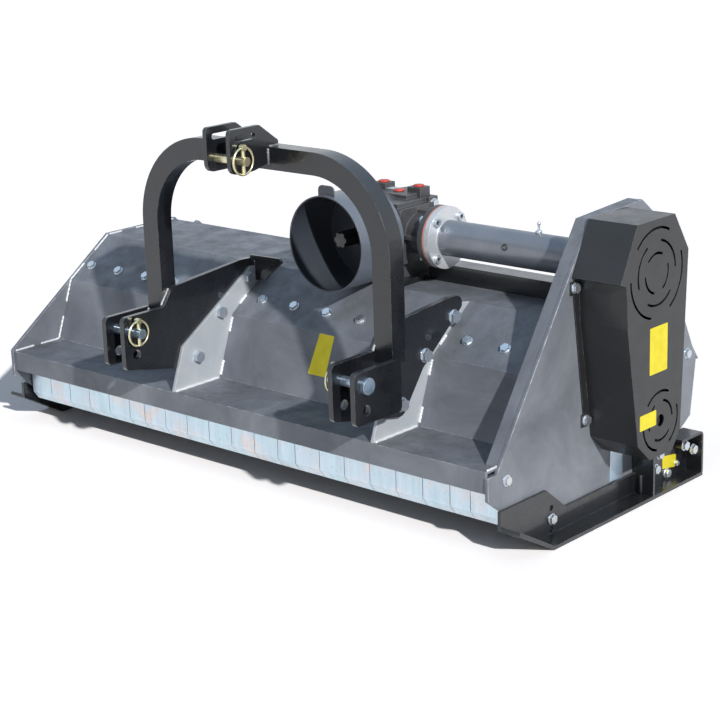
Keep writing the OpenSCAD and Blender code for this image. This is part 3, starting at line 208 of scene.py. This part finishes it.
def paint(name, low, high, rough, wear_and_highlight, dust_and_shade, dust_and_shade_color, metallic=0.0, coat=0.0, peel=0.12,
          specular=0.5, edge=0.0016, zone=None):
    """Sprayed paint: cloudy tone, fine peel, rubbed edges with a painted highlight, and a top colour: dust
    when pale, painted shade when dark.

    A zone is a mask's function and the colour that is painted there.
    """
    t = Tree(name)
    rounded = t.rounded(edge)
    color = t.ramp(t.noise(5.0, detail=5.0, rough=0.62, warp=0.6), (0.3, low), (0.7, high))
    if zone:
        mask, zone_color = zone
        color = t.mix(mask(t), color, zone_color)
    flakes = t.ramp(t.noise(1400.0, detail=1.0), (0.42, 0.86), (0.6, 1.0))
    color = t.mix(1.0, color, flakes, "MULTIPLY")
    # pale colour on edges and bends: partly rubbed paint, partly a painted highlight
    scuff_and_glint = t.ramp(t.noise(38.0, detail=6.0, rough=0.7), (0.45, 0.0), (0.6, 1.0))
    rubbed_and_highlit = t.math("MULTIPLY", t.near_edge(rounded), t.math("MULTIPLY", scuff_and_glint, 0.75))
    color = t.mix(rubbed_and_highlit, color, wear_and_highlight)
    # the top colour is laid on what faces up: real dust where it is paler than the paint, painted shade on
    # the tops where it is darker
    top_dust_and_shade = t.ramp(t.noise(17.0, detail=6.0, rough=0.68), (0.4, 0.0), (0.75, 1.0))
    top_dust_and_shade = t.math("MULTIPLY", t.math("MULTIPLY", top_dust_and_shade, t.upward()), dust_and_shade)
    color = t.mix(top_dust_and_shade, color, dust_and_shade_color)
    mottle = t.ramp(t.noise(24.0, detail=4.0), (0.3, rough - 0.06), (0.7, rough + 0.09))
    mottle = t.math("ADD", mottle, t.math("MULTIPLY", top_dust_and_shade, 0.3))
    fine = t.bump(t.noise(420.0, detail=2.0), peel, 0.0006, rounded)
    wave = t.bump(t.noise(9.0, detail=2.0), 0.12, 0.004, fine)
    return t.finish(color, mottle, wave, metallic, coat, specular)


def plated(name, base, cool, warm, tint, rough, stretch):
    """Zinc plating: drifting pale tints, fine drawn lines and clouded gloss."""
    t = Tree(name)
    drift = t.noise(11.0, rough=0.5, warp=1.2)
    color = t.mix(tint, base, t.ramp(drift, (0.32, cool), (0.54, base), (0.72, warm)))
    lines = t.noise(60.0, detail=4.0, rough=0.6, stretch=stretch)
    color = t.mix(1.0, color, t.ramp(lines, (0.3, 0.88), (0.65, 1.0)), "MULTIPLY")
    spots = t.ramp(t.noise(130.0), (0.3, 0.72), (0.42, 1.0))
    color = t.mix(0.5, color, spots, "MULTIPLY")
    cloud = t.ramp(t.noise(21.0, detail=5.0, rough=0.65), (0.3, rough - 0.08), (0.7, rough + 0.12))
    return t.finish(color, cloud, t.bump(lines, 0.1, 0.0005, t.rounded(0.001)), metallic=0.9)


def cast(name, low, high, rough, grain, depth, metallic=0.0, rust=0.0):
    """Cast, forged or welded metal with a coarse skin."""
    t = Tree(name)
    rounded = t.rounded(0.0025)
    color = t.ramp(t.noise(14.0, detail=6.0, rough=0.65), (0.3, low), (0.72, high))
    if rust:
        spread = t.ramp(t.noise(26.0, detail=7.0, rough=0.72, warp=0.4), (0.52, 0.0), (0.72, rust))
        color = t.mix(spread, color, (0.16, 0.075, 0.035))
    color = t.mix(t.math("MULTIPLY", t.near_edge(rounded), 0.35), color, (0.3, 0.29, 0.28))
    skin = t.bump(t.noise(grain, detail=4.0, rough=0.6), depth, 0.0012, rounded)
    sheen = t.ramp(t.noise(40.0, detail=4.0), (0.3, rough - 0.08), (0.7, rough + 0.12))
    return t.finish(color, sheen, skin, metallic)


def turned(name, base, rough, stretch):
    """Turned steel: fine tool marks and dull stains."""
    t = Tree(name)
    lines = t.noise(90.0, rough=0.6, stretch=stretch)
    color = t.mix(1.0, base, t.ramp(lines, (0.3, 0.8), (0.7, 1.0)), "MULTIPLY")
    stain = t.ramp(t.noise(19.0, detail=5.0), (0.5, 0.0), (0.75, 0.5))
    color = t.mix(stain, color, (0.2, 0.18, 0.15))
    sheen = t.ramp(t.noise(33.0, detail=4.0), (0.3, rough), (0.7, rough + 0.15))
    return t.finish(color, sheen, t.bump(lines, 0.15, 0.0004, t.rounded(0.001)), metallic=0.95)


def moulded(name, low, high, rough):
    """Rubber, plastic and sealing with a faint grain."""
    t = Tree(name)
    color = t.ramp(t.noise(30.0, detail=5.0), (0.3, low), (0.7, high))
    grain = t.noise(500.0, detail=2.0, stretch=(1.0, 0.25, 0.25))
    sheen = t.ramp(t.noise(60.0), (0.3, rough - 0.1), (0.7, rough))
    return t.finish(color, sheen, t.bump(grain, 0.3, 0.0006, t.rounded(0.001)))


def film(name, low, high, metallic=0.0):
    """Plain film without any print on it: slightly faded and scuffed."""
    t = Tree(name)
    rounded = t.rounded(0.0004)
    color = t.ramp(t.noise(40.0, detail=4.0), (0.3, low), (0.7, high))
    grime = t.ramp(t.noise(85.0, detail=6.0, rough=0.7), (0.6, 0.0), (0.8, 0.35))
    color = t.mix(grime, color, (0.28, 0.24, 0.1))
    color = t.mix(t.math("MULTIPLY", t.near_edge(rounded), 0.5), color, (0.5, 0.42, 0.1))
    sheen = t.ramp(t.noise(50.0), (0.3, 0.28), (0.7, 0.42))
    return t.finish(color, sheen, t.bump(t.noise(120.0, detail=2.0), 0.06, 0.0006, rounded), metallic)


# deck grey: its near-white edge colour is mostly a painted highlight on edges and bends, and its dark top
# colour is painted shade on the upward faces
GREY = paint("grey_metallic_paint", low=(0.175, 0.188, 0.216), high=(0.325, 0.343, 0.377), rough=0.47,
             wear_and_highlight=(0.82, 0.84, 0.86), dust_and_shade=0.75, dust_and_shade_color=(0.105, 0.107, 0.11), metallic=0.3,
             peel=0.09, specular=0.3, edge=0.0026)
# the deck's grey made much lighter for the gussets: painted light on their sunward faces; their darker tops
# are painted shade
GUSSET_LIT_GREY = paint("grey_gusset_painted_light", low=(0.47, 0.5, 0.53), high=(0.6, 0.63, 0.655), rough=0.46,
               wear_and_highlight=(0.9, 0.9, 0.9), dust_and_shade=0.3, dust_and_shade_color=(0.2, 0.195, 0.19), metallic=0.2,
               peel=0.09, edge=0.0026)
BLACK = paint("black_gloss_paint", low=(0.0075, 0.0086, 0.011), high=(0.0145, 0.016, 0.0195), rough=0.28,
              wear_and_highlight=(0.2, 0.2, 0.2), dust_and_shade=0.22, dust_and_shade_color=(0.1, 0.097, 0.09), coat=0.5)
COVER = paint("black_cover_paint", low=(0.012, 0.0122, 0.013), high=(0.022, 0.0222, 0.0235), rough=0.36,
              wear_and_highlight=(0.18, 0.18, 0.18), dust_and_shade=0.16, dust_and_shade_color=(0.09, 0.11, 0.105), coat=0.2, peel=0.22)
TUBE = paint("blue_grey_paint", low=(0.2, 0.215, 0.25), high=(0.29, 0.31, 0.35), rough=0.34,
             wear_and_highlight=(0.5, 0.51, 0.53), dust_and_shade=0.2, dust_and_shade_color=(0.3, 0.29, 0.27), metallic=0.45, coat=0.15,
             peel=0.1, zone=(lambda t: t.before(FLANGE_X + 0.5), (0.74, 0.76, 0.78)))
# the shield's inner faces get a much darker colour: painted shade inside its hollow
SHIELD = paint("shield_blue_grey", low=(0.14, 0.16, 0.2), high=(0.2, 0.225, 0.27), rough=0.36,
               wear_and_highlight=(0.35, 0.36, 0.38), dust_and_shade=0.15, dust_and_shade_color=(0.25, 0.25, 0.24), metallic=0.1, coat=0.25,
               zone=(lambda t: t.inside(HITCH_X, DRIVE_Z), (0.058, 0.067, 0.085)))
FLAP = plated("zinc_flaps", base=(0.7, 0.81, 0.89), cool=(0.6, 0.82, 0.88), warm=(0.9, 0.74, 0.66),
              tint=0.65, rough=0.42, stretch=(1.0, 1.0, 0.08))
BOLT = plated("zinc_bolts", base=(0.68, 0.72, 0.76), cool=(0.6, 0.7, 0.8), warm=(0.78, 0.74, 0.66),
              tint=0.5, rough=0.3, stretch=(0.3, 1.0, 1.0))
PIN = plated("zinc_pins", base=(0.55, 0.67, 0.8), cool=(0.42, 0.62, 0.82), warm=(0.7, 0.72, 0.74),
             tint=0.6, rough=0.26, stretch=(1.0, 0.2, 0.2))
YELLOW = plated("yellow_zinc", base=(0.84, 0.76, 0.46), cool=(0.74, 0.78, 0.56), warm=(0.88, 0.64, 0.5),
                tint=0.7, rough=0.3, stretch=(0.3, 1.0, 1.0))
STRIP = plated("zinc_strip", base=(0.6, 0.74, 0.86), cool=(0.55, 0.74, 0.88), warm=(0.74, 0.78, 0.82),
               tint=0.6, rough=0.4, stretch=(1.0, 1.0, 0.1))
CAST = cast("black_casting", low=(0.04, 0.04, 0.043), high=(0.095, 0.095, 0.1), rough=0.38,
            grain=240.0, depth=0.5)
PULLEY = cast("pulley_casting", low=(0.025, 0.025, 0.028), high=(0.06, 0.06, 0.065), rough=0.48,
              grain=320.0, depth=0.25, metallic=0.3)
FORGED = cast("forged_steel", low=(0.055, 0.052, 0.05), high=(0.12, 0.115, 0.11), rough=0.5,
              grain=180.0, depth=0.4, metallic=0.6, rust=0.7)
# dark weld colour broken by pale patches up to near-white: the pale patches are painted glints
BEAD_GLINTS = cast("dark_bead_painted_glints", low=(0.05, 0.05, 0.052), high=(0.7, 0.7, 0.71), rough=0.28,
            grain=320.0, depth=0.12, metallic=0.1)
# near-white weld colour: a painted highlight for glints on grey-painted beads
WELD_HIGHLIGHT = cast("weld_painted_highlight", low=(0.72, 0.73, 0.74), high=(0.95, 0.95, 0.96), rough=0.34,
            grain=320.0, depth=0.12, metallic=0.25)
STEEL = turned("turned_steel", base=(0.115, 0.116, 0.12), rough=0.42, stretch=(1.0, 0.1, 0.1))
RUBBER = moulded("belt_rubber", low=(0.008, 0.008, 0.008), high=(0.02, 0.02, 0.02), rough=0.85)
SEAL = moulded("orange_gasket", low=(0.66, 0.2, 0.13), high=(0.84, 0.34, 0.24), rough=0.6)
RED = moulded("red_plugs", low=(0.62, 0.045, 0.035), high=(0.78, 0.1, 0.07), rough=0.5)
# near-black colour for the socket floors: painted shade
SOCKET_SHADE = moulded("painted_socket_shade", low=(0.012, 0.012, 0.013), high=(0.03, 0.03, 0.032), rough=0.6)
FILM = film("plain_yellow_film", low=(0.86, 0.71, 0.012), high=(0.96, 0.82, 0.03), metallic=0.3)
PALE = film("plain_pale_film", low=(0.62, 0.68, 0.76), high=(0.74, 0.8, 0.86))

FLAP_COUNT = 21
FINISH = {
    GREY: "deck_shell left_end_plate right_end_plate rear_hood",
    GUSSET_LIT_GREY: "hitch_gussets",
    BLACK: "hitch_hoop left_hitch_plate right_hitch_plate hitch_cheeks top_link_plates left_skid right_skid "
           "rear_roller roller_brackets gearbox_mount",
    COVER: "belt_cover",
    SHIELD: "pto_shield",
    TUBE: "drive_tube",
    BOLT: "panel_bolts frame_bolts flap_rod",
    PIN: "lower_link_pins",
    YELLOW: "top_link_pin linch_pins",
    CAST: "gearbox_housing rotor_bearings",
    PULLEY: "drive_pulley rotor_pulley",
    FORGED: "rotor_drum hammers_row_a hammers_row_b hammers_row_c hammers_row_d counter_blade",
    STEEL: "input_shaft cross_shaft shaft_bearings",
    RUBBER: "v_belts",
    SEAL: "flange_gasket",
    FLAP: " ".join("flap_%02d" % (i + 1) for i in range(FLAP_COUNT)),
}
for material, names in FINISH.items():
    for name in names.split():
        data = nodes[name].data
        data.materials.clear()
        data.materials.append(material)


# forms of the small pieces, in the drawing's mm

UP, SIDEWAYS = (0, 0, 1), (1, 0, 0)
HEX = 6


def piece(name, bm, material, smooth=True):
    """Puts a form on the frame as a piece of its own."""
    mesh = bpy.data.meshes.new(name)
    bmesh.ops.recalc_face_normals(bm, faces=bm.faces)
    bm.to_mesh(mesh)
    bm.free()
    for f in mesh.polygons:
        f.use_smooth = smooth
    mesh.materials.append(material)
    obj = bpy.data.objects.new(name, mesh)
    bpy.context.scene.collection.objects.link(obj)
    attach(obj, "frame")


def add_rings(bm, rings):
    """Skin over rings of points, with closed ends."""
    rings = [[bm.verts.new(at(*p)) for p in ring] for ring in rings]
    for p, q in zip(rings, rings[1:]):
        for k in range(len(p)):
            j = (k + 1) % len(p)
            bm.faces.new((p[k], p[j], q[j], q[k]))
    bm.faces.new(rings[0][::-1])
    bm.faces.new(rings[-1])


def circle(centre, u, v, r, steps):
    turns = (2 * math.pi * k / steps for k in range(steps))
    return [centre + (u * math.cos(t) + v * math.sin(t)) * r for t in turns]


def add_bead(bm, start, end, r):
    """Weld bead between two points: low ripples on a round run that wavers a little."""
    pitch, rings_per_ripple, sides, end_share = 5.0, 4, 8, 0.45
    base, ripple, uneven, sway = 0.94, 0.08, 0.04, 0.1
    uneven_turn, sway_turn_u, sway_turn_v = 37.0, 23.0, 31.0
    a, run = Vector(start), Vector(end) - Vector(start)
    along = run.normalized()
    u = along.orthogonal().normalized()
    v = along.cross(u)
    count = max(4, int(run.length / pitch) * rings_per_ripple)
    rings = []
    for i in range(count + 1):
        s = i / count
        phase = (s * run.length / pitch) % 1.0
        swell = r * (base + ripple * (1.0 - phase) + uneven * math.sin(s * uneven_turn))
        if i in (0, count):
            swell *= end_share
        waver = (u * math.sin(s * sway_turn_u) + v * math.cos(s * sway_turn_v)) * r * sway
        rings.append(circle(a + run * s + waver, u, v, swell, sides))
    add_rings(bm, rings)


def add_stitches(bm, start, end, length, gap, r):
    """Short welds laid along a line, with at least a gap between them."""
    a, line = Vector(start), Vector(end) - Vector(start)
    n = max(1, int((line.length + gap) / (length + gap)))
    u = line.normalized()
    for i in range(n):
        s = (line.length - length) * (i / (n - 1) if n > 1 else 0.5)
        add_bead(bm, a + u * s, a + u * (s + length), r)


def add_lathe(bm, base, axis, profile, steps=24):
    """Turned piece: the profile holds pairs of a radius and a height along the axis."""
    o, n = Vector(base), Vector(axis).normalized()
    u = n.orthogonal().normalized()
    add_rings(bm, [circle(o + n * h, u, n.cross(u), r, steps) for r, h in profile])


def add_film(bm, corners, normal, t=0.35, r=2.5):
    """Thin film with rounded corners on a flat face; the corners run round in order."""
    corner_steps = 4
    n = Vector(normal).normalized()
    pts = [Vector(c) for c in corners]
    rim = []
    for i, p in enumerate(pts):
        a = (pts[i - 1] - p).normalized()
        b = (pts[(i + 1) % len(pts)] - p).normalized()
        m = p + (a + b) * r
        for k in range(corner_steps + 1):
            w = math.pi / 2 * k / corner_steps
            rim.append(m - b * r * math.cos(w) - a * r * math.sin(w))
    add_rings(bm, [rim, [p + n * t for p in rim]])


def add_box(bm, low, high):
    """Block between two corners."""
    plan = ((low[X], low[Y]), (high[X], low[Y]), (high[X], high[Y]), (low[X], high[Y]))
    add_rings(bm, [[(x, y, z) for x, y in plan] for z in (low[Z], high[Z])])


# welds

WELD_SET = 1.6
LEDGE_WELD_Z, DECK_WELD_Z = LEDGE_Z + WELD_SET, DECK_TOP + WELD_SET
GUSSET_OUT = ARM_OUT - ARM_T
LEDGE_START, LEDGE_END = (4, LEDGE_WELD_Z), (140, LEDGE_WELD_Z)
LEDGE_BEAD_R = 3.4
# places along y and z of both ends, weld length, gap and bead radius
GUSSET_STITCHES = (
    ((146, 200), (194, 330), 36, 34, 3.8),
    ((200, 342), (262, 386), 30, 24, 3.6),
)

bm = bmesh.new()
for side in (-1, 1):
    for off in (GUSSET_OUT - GUSSET_T - WELD_SET, GUSSET_OUT + WELD_SET):
        x = HITCH_X + side * off
        add_bead(bm, (x, *LEDGE_START), (x, *LEDGE_END), LEDGE_BEAD_R)
        for start, end, length, gap, r in GUSSET_STITCHES:
            add_stitches(bm, (x, *start), (x, *end), length, gap, r)
# these beads carry the weld colour's painted highlight
piece("gusset_welds", bm, WELD_HIGHLIGHT)

SEAM_X = DECK_X - 1.4
SEAM_BEAD_R = 2.6
LEDGE_BEND, PANEL_BEND, UPPER_BEND = (141, LEDGE_WELD_Z), (193.5, 338), (325, 430)
# places along y and z of both ends, weld length and gap
SEAM_STITCHES = (
    (LEDGE_START, LEDGE_BEND, 58, 12),
    (LEDGE_BEND, PANEL_BEND, 58, 12),
    (PANEL_BEND, UPPER_BEND, 58, 12),
    ((330, DECK_WELD_Z), (552, DECK_WELD_Z), 42, 45),
    ((640, 352.6), (688, 308), 26, 30),
)

bm = bmesh.new()
for x in (-SEAM_X, SEAM_X):
    for start, end, length, gap in SEAM_STITCHES:
        add_stitches(bm, (x, *start), (x, *end), length, gap, SEAM_BEAD_R)
# these beads carry the weld colour's painted highlight
piece("end_plate_welds", bm, WELD_HIGHLIGHT)

HITCH_SET, LINK_SET = 0.6, 0.4
ARM_WELD_X, ARM_WELD_Y, LINK_WELD_Z = ARM_OUT - HITCH_SET, HOOP_REAR + HITCH_SET, HOOP_TOP + LINK_SET
LINK_OFFS = (LINK_OUT - LINK_T - HITCH_SET, LINK_OUT + LINK_SET)
LINK_RUNS = (
    ((-0.8, 750), (-0.8, 786)),
    ((3, LINK_WELD_Z), (30, LINK_WELD_Z)),
)
LINK_BEAD_R = 2.8
# distance from the hitch's middle, places along y and z of both ends, bead radius
HITCH_BEADS = (
    (ARM_WELD_X, (-6, 396), (19, 432), 3.2),
    (CHEEK_IN + HITCH_SET, (-1, 340), (-1, 384), 3.0),
    (ARM_WELD_X, (ARM_WELD_Y, 380), (ARM_WELD_Y, 430), 3.2),
    *((off, start, end, LINK_BEAD_R) for off in LINK_OFFS for start, end in LINK_RUNS),
)

bm = bmesh.new()
for side in (-1, 1):
    for off, start, end, r in HITCH_BEADS:
        x = HITCH_X + side * off
        add_bead(bm, (x, *start), (x, *end), r)
# these beads carry the painted glints of the dark weld colour
piece("hitch_welds", bm, BEAD_GLINTS)

# grease nipple and screw plug of the drive tube

NIPPLE_X, NIPPLE_SINK = 570, 1.5
NIPPLE_Z = DRIVE_Z + TUBE_R - NIPPLE_SINK
NIPPLE_STEM_Z = NIPPLE_Z + 7.5
NIPPLE_NUT = [(6.5, 0), (7.5, 2), (7.5, 7), (6.6, 8.5)]
NIPPLE_STEM = [(3.2, 0), (3.2, 3), (2.6, 5), (2.6, 11), (3.6, 13), (4.2, 15.5), (3.8, 18), (2.4, 19.6),
               (1.0, 20)]

bm = bmesh.new()
add_lathe(bm, (NIPPLE_X, DRIVE_Y, NIPPLE_Z), UP, NIPPLE_NUT, HEX)
add_lathe(bm, (NIPPLE_X, DRIVE_Y, NIPPLE_STEM_Z), UP, NIPPLE_STEM)
piece("grease_nipple", bm, BOLT)

PLUG_X, PLUG_SINK = 508, 1.0
PLUG_AXIS = Vector((0, -0.97, 0.24)).normalized()
PLUG_RIM = [(7.6, 0), (7.6, 2.2), (6.8, 3.2), (4.4, 3.2), (4.2, 2.6), (3.9, 0.4), (0.6, 0.2)]

bm = bmesh.new()
add_lathe(bm, Vector((PLUG_X, DRIVE_Y, DRIVE_Z)) + PLUG_AXIS * (TUBE_R - PLUG_SINK), PLUG_AXIS, PLUG_RIM)
piece("tube_plug", bm, FORGED)

# plain films and a zinc strip, by their corners

COVER_FILMS = (
    ((383, 320), (448, 320), (448, 420), (383, 420)),
    ((349, 208), (409, 208), (409, 241), (349, 241)),
)
PANEL_FILM = ((119, 195.3, 334), (163, 195.3, 334), (160, 163, 246), (107, 163, 246))
PANEL_NORMAL = (0, -0.939, 0.344)
BRACKET_FILM = ((598, 34), (651, 25), (653, 55), (598, 63))
END_STRIP = ((416, 124), (413, 55), (462, 50), (461, 107))
LID_FILM = ((92, 446), (134, 446), (134, 470), (92, 470))

bm = bmesh.new()
for corners in COVER_FILMS:
    add_film(bm, [(COVER_X, *c) for c in corners], SIDEWAYS)
piece("cover_films", bm, FILM, smooth=False)

bm = bmesh.new()
add_film(bm, PANEL_FILM, PANEL_NORMAL)
piece("panel_film", bm, FILM, smooth=False)

bm = bmesh.new()
add_film(bm, [(BRACKET_X, *c) for c in BRACKET_FILM], SIDEWAYS)
piece("bracket_film", bm, FILM, smooth=False)

bm = bmesh.new()
add_film(bm, [(END_X, *c) for c in END_STRIP], SIDEWAYS, t=1.5, r=1.0)
piece("end_plate_strip", bm, STRIP, smooth=False)

bm = bmesh.new()
add_film(bm, [(*c, LID_TOP) for c in LID_FILM], UP)
piece("gearbox_film", bm, PALE, smooth=False)

# plugs in the gearbox's upper holes, two of them on bosses

SINK = 0.5
BOSS_PLACES = ((88, 462), (192, 462))
BOSS_LOW, BOSS_TOP = LID_TOP - LID_T - SINK, LID_TOP + 11.6
BOSS_HALF, BOSS_FRONT, BOSS_REAR = 19, 18, 16
RED_PLUG_PLACES = ((150, 442, LID_TOP), *((x, y, BOSS_TOP) for x, y in BOSS_PLACES))
RED_PLUG = [(9, 0), (12.4, 0.8), (12.8, 2.4), (11.8, 4), (0.8, 4.6)]

bm = bmesh.new()
for x, y in BOSS_PLACES:
    low = (x - BOSS_HALF, y - BOSS_FRONT, BOSS_LOW)
    add_box(bm, low, (x + BOSS_HALF, y + BOSS_REAR, BOSS_TOP))
piece("gearbox_bosses", bm, CAST, smooth=False)

bm = bmesh.new()
for x, y, z in RED_PLUG_PLACES:
    add_lathe(bm, (x, y, z - SINK), UP, RED_PLUG)
piece("gearbox_plugs", bm, RED)

# near-black discs at the bottom of the flange screws' sockets: painted shade in the recesses

SOCKET_X = FLANGE_X + 3.1
SOCKET_OFF = 41
SOCKET_FLOOR = [(5.2, 0), (5.2, 0.5), (0.5, 0.6)]

bm = bmesh.new()
for y in (DRIVE_Y - SOCKET_OFF, DRIVE_Y + SOCKET_OFF):
    for z in (DRIVE_Z - SOCKET_OFF, DRIVE_Z + SOCKET_OFF):
        add_lathe(bm, (SOCKET_X, y, z), SIDEWAYS, SOCKET_FLOOR, HEX)
piece("cap_socket_shade", bm, SOCKET_SHADE, smooth=False)

# screws of the belt side's bracket: places along y and z, and the size that washer and head follow

BRACKET_SCREWS = ((614, 20.5, 6.0), (653, 33, 4.0))
WASHER_T = 2.0

bm = bmesh.new()
for y, z, size in BRACKET_SCREWS:
    washer = [(size * 2, 0), (size * 2, WASHER_T * 0.8), (size * 1.8, WASHER_T)]
    head = [(size * 1.7, 0), (size * 1.7, size), (size * 1.4, size * 1.2)]
    add_lathe(bm, (BRACKET_X, y, z), SIDEWAYS, washer)
    add_lathe(bm, (BRACKET_X + WASHER_T, y, z), SIDEWAYS, head, HEX)
piece("bracket_screws", bm, BOLT, smooth=False)

# rounded edge bars before the brackets' front walls

BAR_OUT, BAR_AHEAD = 10, 2
BAR_X = BRACKET_X + BAR_OUT
BAR_Y = reach("roller_brackets", Y, LOW) - BAR_AHEAD
BAR_Z = reach("roller_brackets", Z, LOW)
BAR = [(3.6, 0), (4.4, 1.5), (4.4, 42), (3.2, 44)]

bm = bmesh.new()
for x in (-BAR_X, BAR_X):
    add_lathe(bm, (x, BAR_Y, BAR_Z), UP, BAR)
piece("bracket_bars", bm, BLACK)

# rear ends of the skids' feet under the brackets

FOOT_GAP = 1
FOOT_END_Y = reach("roller_brackets", Y, HIGH) - FOOT_GAP

bm = bmesh.new()
for skid in ("left_skid", "right_skid"):
    low = (reach(skid, X, LOW), reach(skid, Y, HIGH), 0)
    add_box(bm, low, (reach(skid, X, HIGH), FOOT_END_Y, SKID_T))
piece("skid_ends", bm, BLACK, smooth=False)


# floor, light and camera


def seen_rays(tree):
    """1 for camera, glossy and transmission rays, else 0."""
    path = tree.nodes.new("ShaderNodeLightPath")
    seen = path.outputs["Is Camera Ray"]
    for ray in ("Is Glossy Ray", "Is Transmission Ray"):
        either = tree.nodes.new("ShaderNodeMath")
        either.operation = "MAXIMUM"
        tree.links.new(seen, either.inputs[0])
        tree.links.new(path.outputs[ray], either.inputs[1])
        seen = either.outputs[0]
    return seen


def mixed(tree, fac, a, b):
    """One colour or the other, by a factor; a colour is a socket or a value."""
    n = tree.nodes.new("ShaderNodeMix")
    n.data_type = "RGBA"
    tree.links.new(fac, n.inputs[0])
    for socket, color in ((n.inputs[6], a), (n.inputs[7], b)):
        if isinstance(color, bpy.types.NodeSocket):
            tree.links.new(color, socket)
        else:
            socket.default_value = (*color, 1)
    return n.outputs[2]


# colour by which the floor lights the object, colour that is seen, and half width and drop in metres
FLOOR_LIT = (0.42, 0.42, 0.43)
FLOOR_SEEN = (1.47, 1.41, 1.385)
FLOOR_HALF, FLOOR_DROP = 60.0, 0.0005

floor_paint = bpy.data.materials.new("pale_floor")
floor_paint.use_nodes = True
tree = floor_paint.node_tree
tree.nodes.clear()
diffuse = tree.nodes.new("ShaderNodeBsdfDiffuse")
tree.links.new(mixed(tree, seen_rays(tree), FLOOR_LIT, FLOOR_SEEN), diffuse.inputs[0])
out = tree.nodes.new("ShaderNodeOutputMaterial")
tree.links.new(diffuse.outputs[0], out.inputs[0])

bm = bmesh.new()
bmesh.ops.create_grid(bm, x_segments=1, y_segments=1, size=FLOOR_HALF)
mesh = bpy.data.meshes.new("floor")
bm.to_mesh(mesh)
bm.free()
mesh.materials.append(floor_paint)
floor = bpy.data.objects.new("floor", mesh)
floor.location = (0, 0, -FLOOR_DROP)
bpy.context.scene.collection.objects.link(floor)

# sky's strength as light and as seen, and its change from white to blue by height
SKY_FILL, SKY_SEEN = 0.25, 1.0
WHITE, BLUE = (1, 1, 1), (0.6, 0.78, 1)
WHITE_BELOW, BLUE_ABOVE = 0.05, 0.75

world = bpy.data.worlds.new("studio")
bpy.context.scene.world = world
world.use_nodes = True
tree = world.node_tree
tree.nodes.clear()
level = tree.nodes.new("ShaderNodeMapRange")
level.inputs["To Min"].default_value = SKY_FILL
level.inputs["To Max"].default_value = SKY_SEEN
tree.links.new(seen_rays(tree), level.inputs["Value"])
coords = tree.nodes.new("ShaderNodeTexCoord")
split = tree.nodes.new("ShaderNodeSeparateXYZ")
tree.links.new(coords.outputs["Generated"], split.inputs[0])
fade = tree.nodes.new("ShaderNodeValToRGB")
for stop, height, color in zip(fade.color_ramp.elements, (WHITE_BELOW, BLUE_ABOVE), (WHITE, BLUE)):
    stop.position = height
    stop.color = (*color, 1)
tree.links.new(split.outputs["Z"], fade.inputs[0])
camera_ray = tree.nodes.new("ShaderNodeLightPath").outputs["Is Camera Ray"]
sky = tree.nodes.new("ShaderNodeBackground")
tree.links.new(mixed(tree, camera_ray, fade.outputs[0], WHITE), sky.inputs[0])
tree.links.new(level.outputs[0], sky.inputs[1])
out = tree.nodes.new("ShaderNodeOutputWorld")
tree.links.new(sky.outputs[0], out.inputs[0])

# the key lamp: where it shines from, its strength, and its width in radians
SUN_FROM = Vector((0.782, -0.368, 0.504)).normalized()
SUN_STRENGTH = 3.3
SUN_WIDTH = math.radians(1.5)

lamp = bpy.data.lights.new("key", "SUN")
lamp.energy = SUN_STRENGTH
lamp.angle = SUN_WIDTH
key = bpy.data.objects.new("key", lamp)
key.rotation_mode = "QUATERNION"
key.rotation_quaternion = SUN_FROM.to_track_quat("Z", "Y")
bpy.context.scene.collection.objects.link(key)

# the photo's camera: place, sensor and lens in mm, turn, tilt and roll in radians, range in metres
CAMERA_AT = (2917.5, -2751.65, 1457.7)
SENSOR, LENS = 36.0, 94.4655
TURN, TILT, ROLL = 0.738096, 0.284666, -0.033617
NEAR, FAR = 0.1, 200.0

cam_data = bpy.data.cameras.new("photo_view")
cam_data.sensor_width = SENSOR
cam_data.lens = LENS
cam_data.clip_start = NEAR
cam_data.clip_end = FAR
ahead = Vector((-math.sin(TURN) * math.cos(TILT), math.cos(TURN) * math.cos(TILT), -math.sin(TILT)))
level_right = Vector((math.cos(TURN), math.sin(TURN), 0.0))
level_up = level_right.cross(ahead)
right = level_right * math.cos(ROLL) + level_up * math.sin(ROLL)
up = level_up * math.cos(ROLL) - level_right * math.sin(ROLL)
cam = bpy.data.objects.new("photo_view", cam_data)
cam.matrix_world = Matrix.Translation(at(*CAMERA_AT)) @ Matrix((right, up, -ahead)).transposed().to_4x4()
bpy.context.scene.collection.objects.link(cam)
bpy.context.scene.camera = cam
bpy.context.scene.view_settings.view_transform = "Standard"
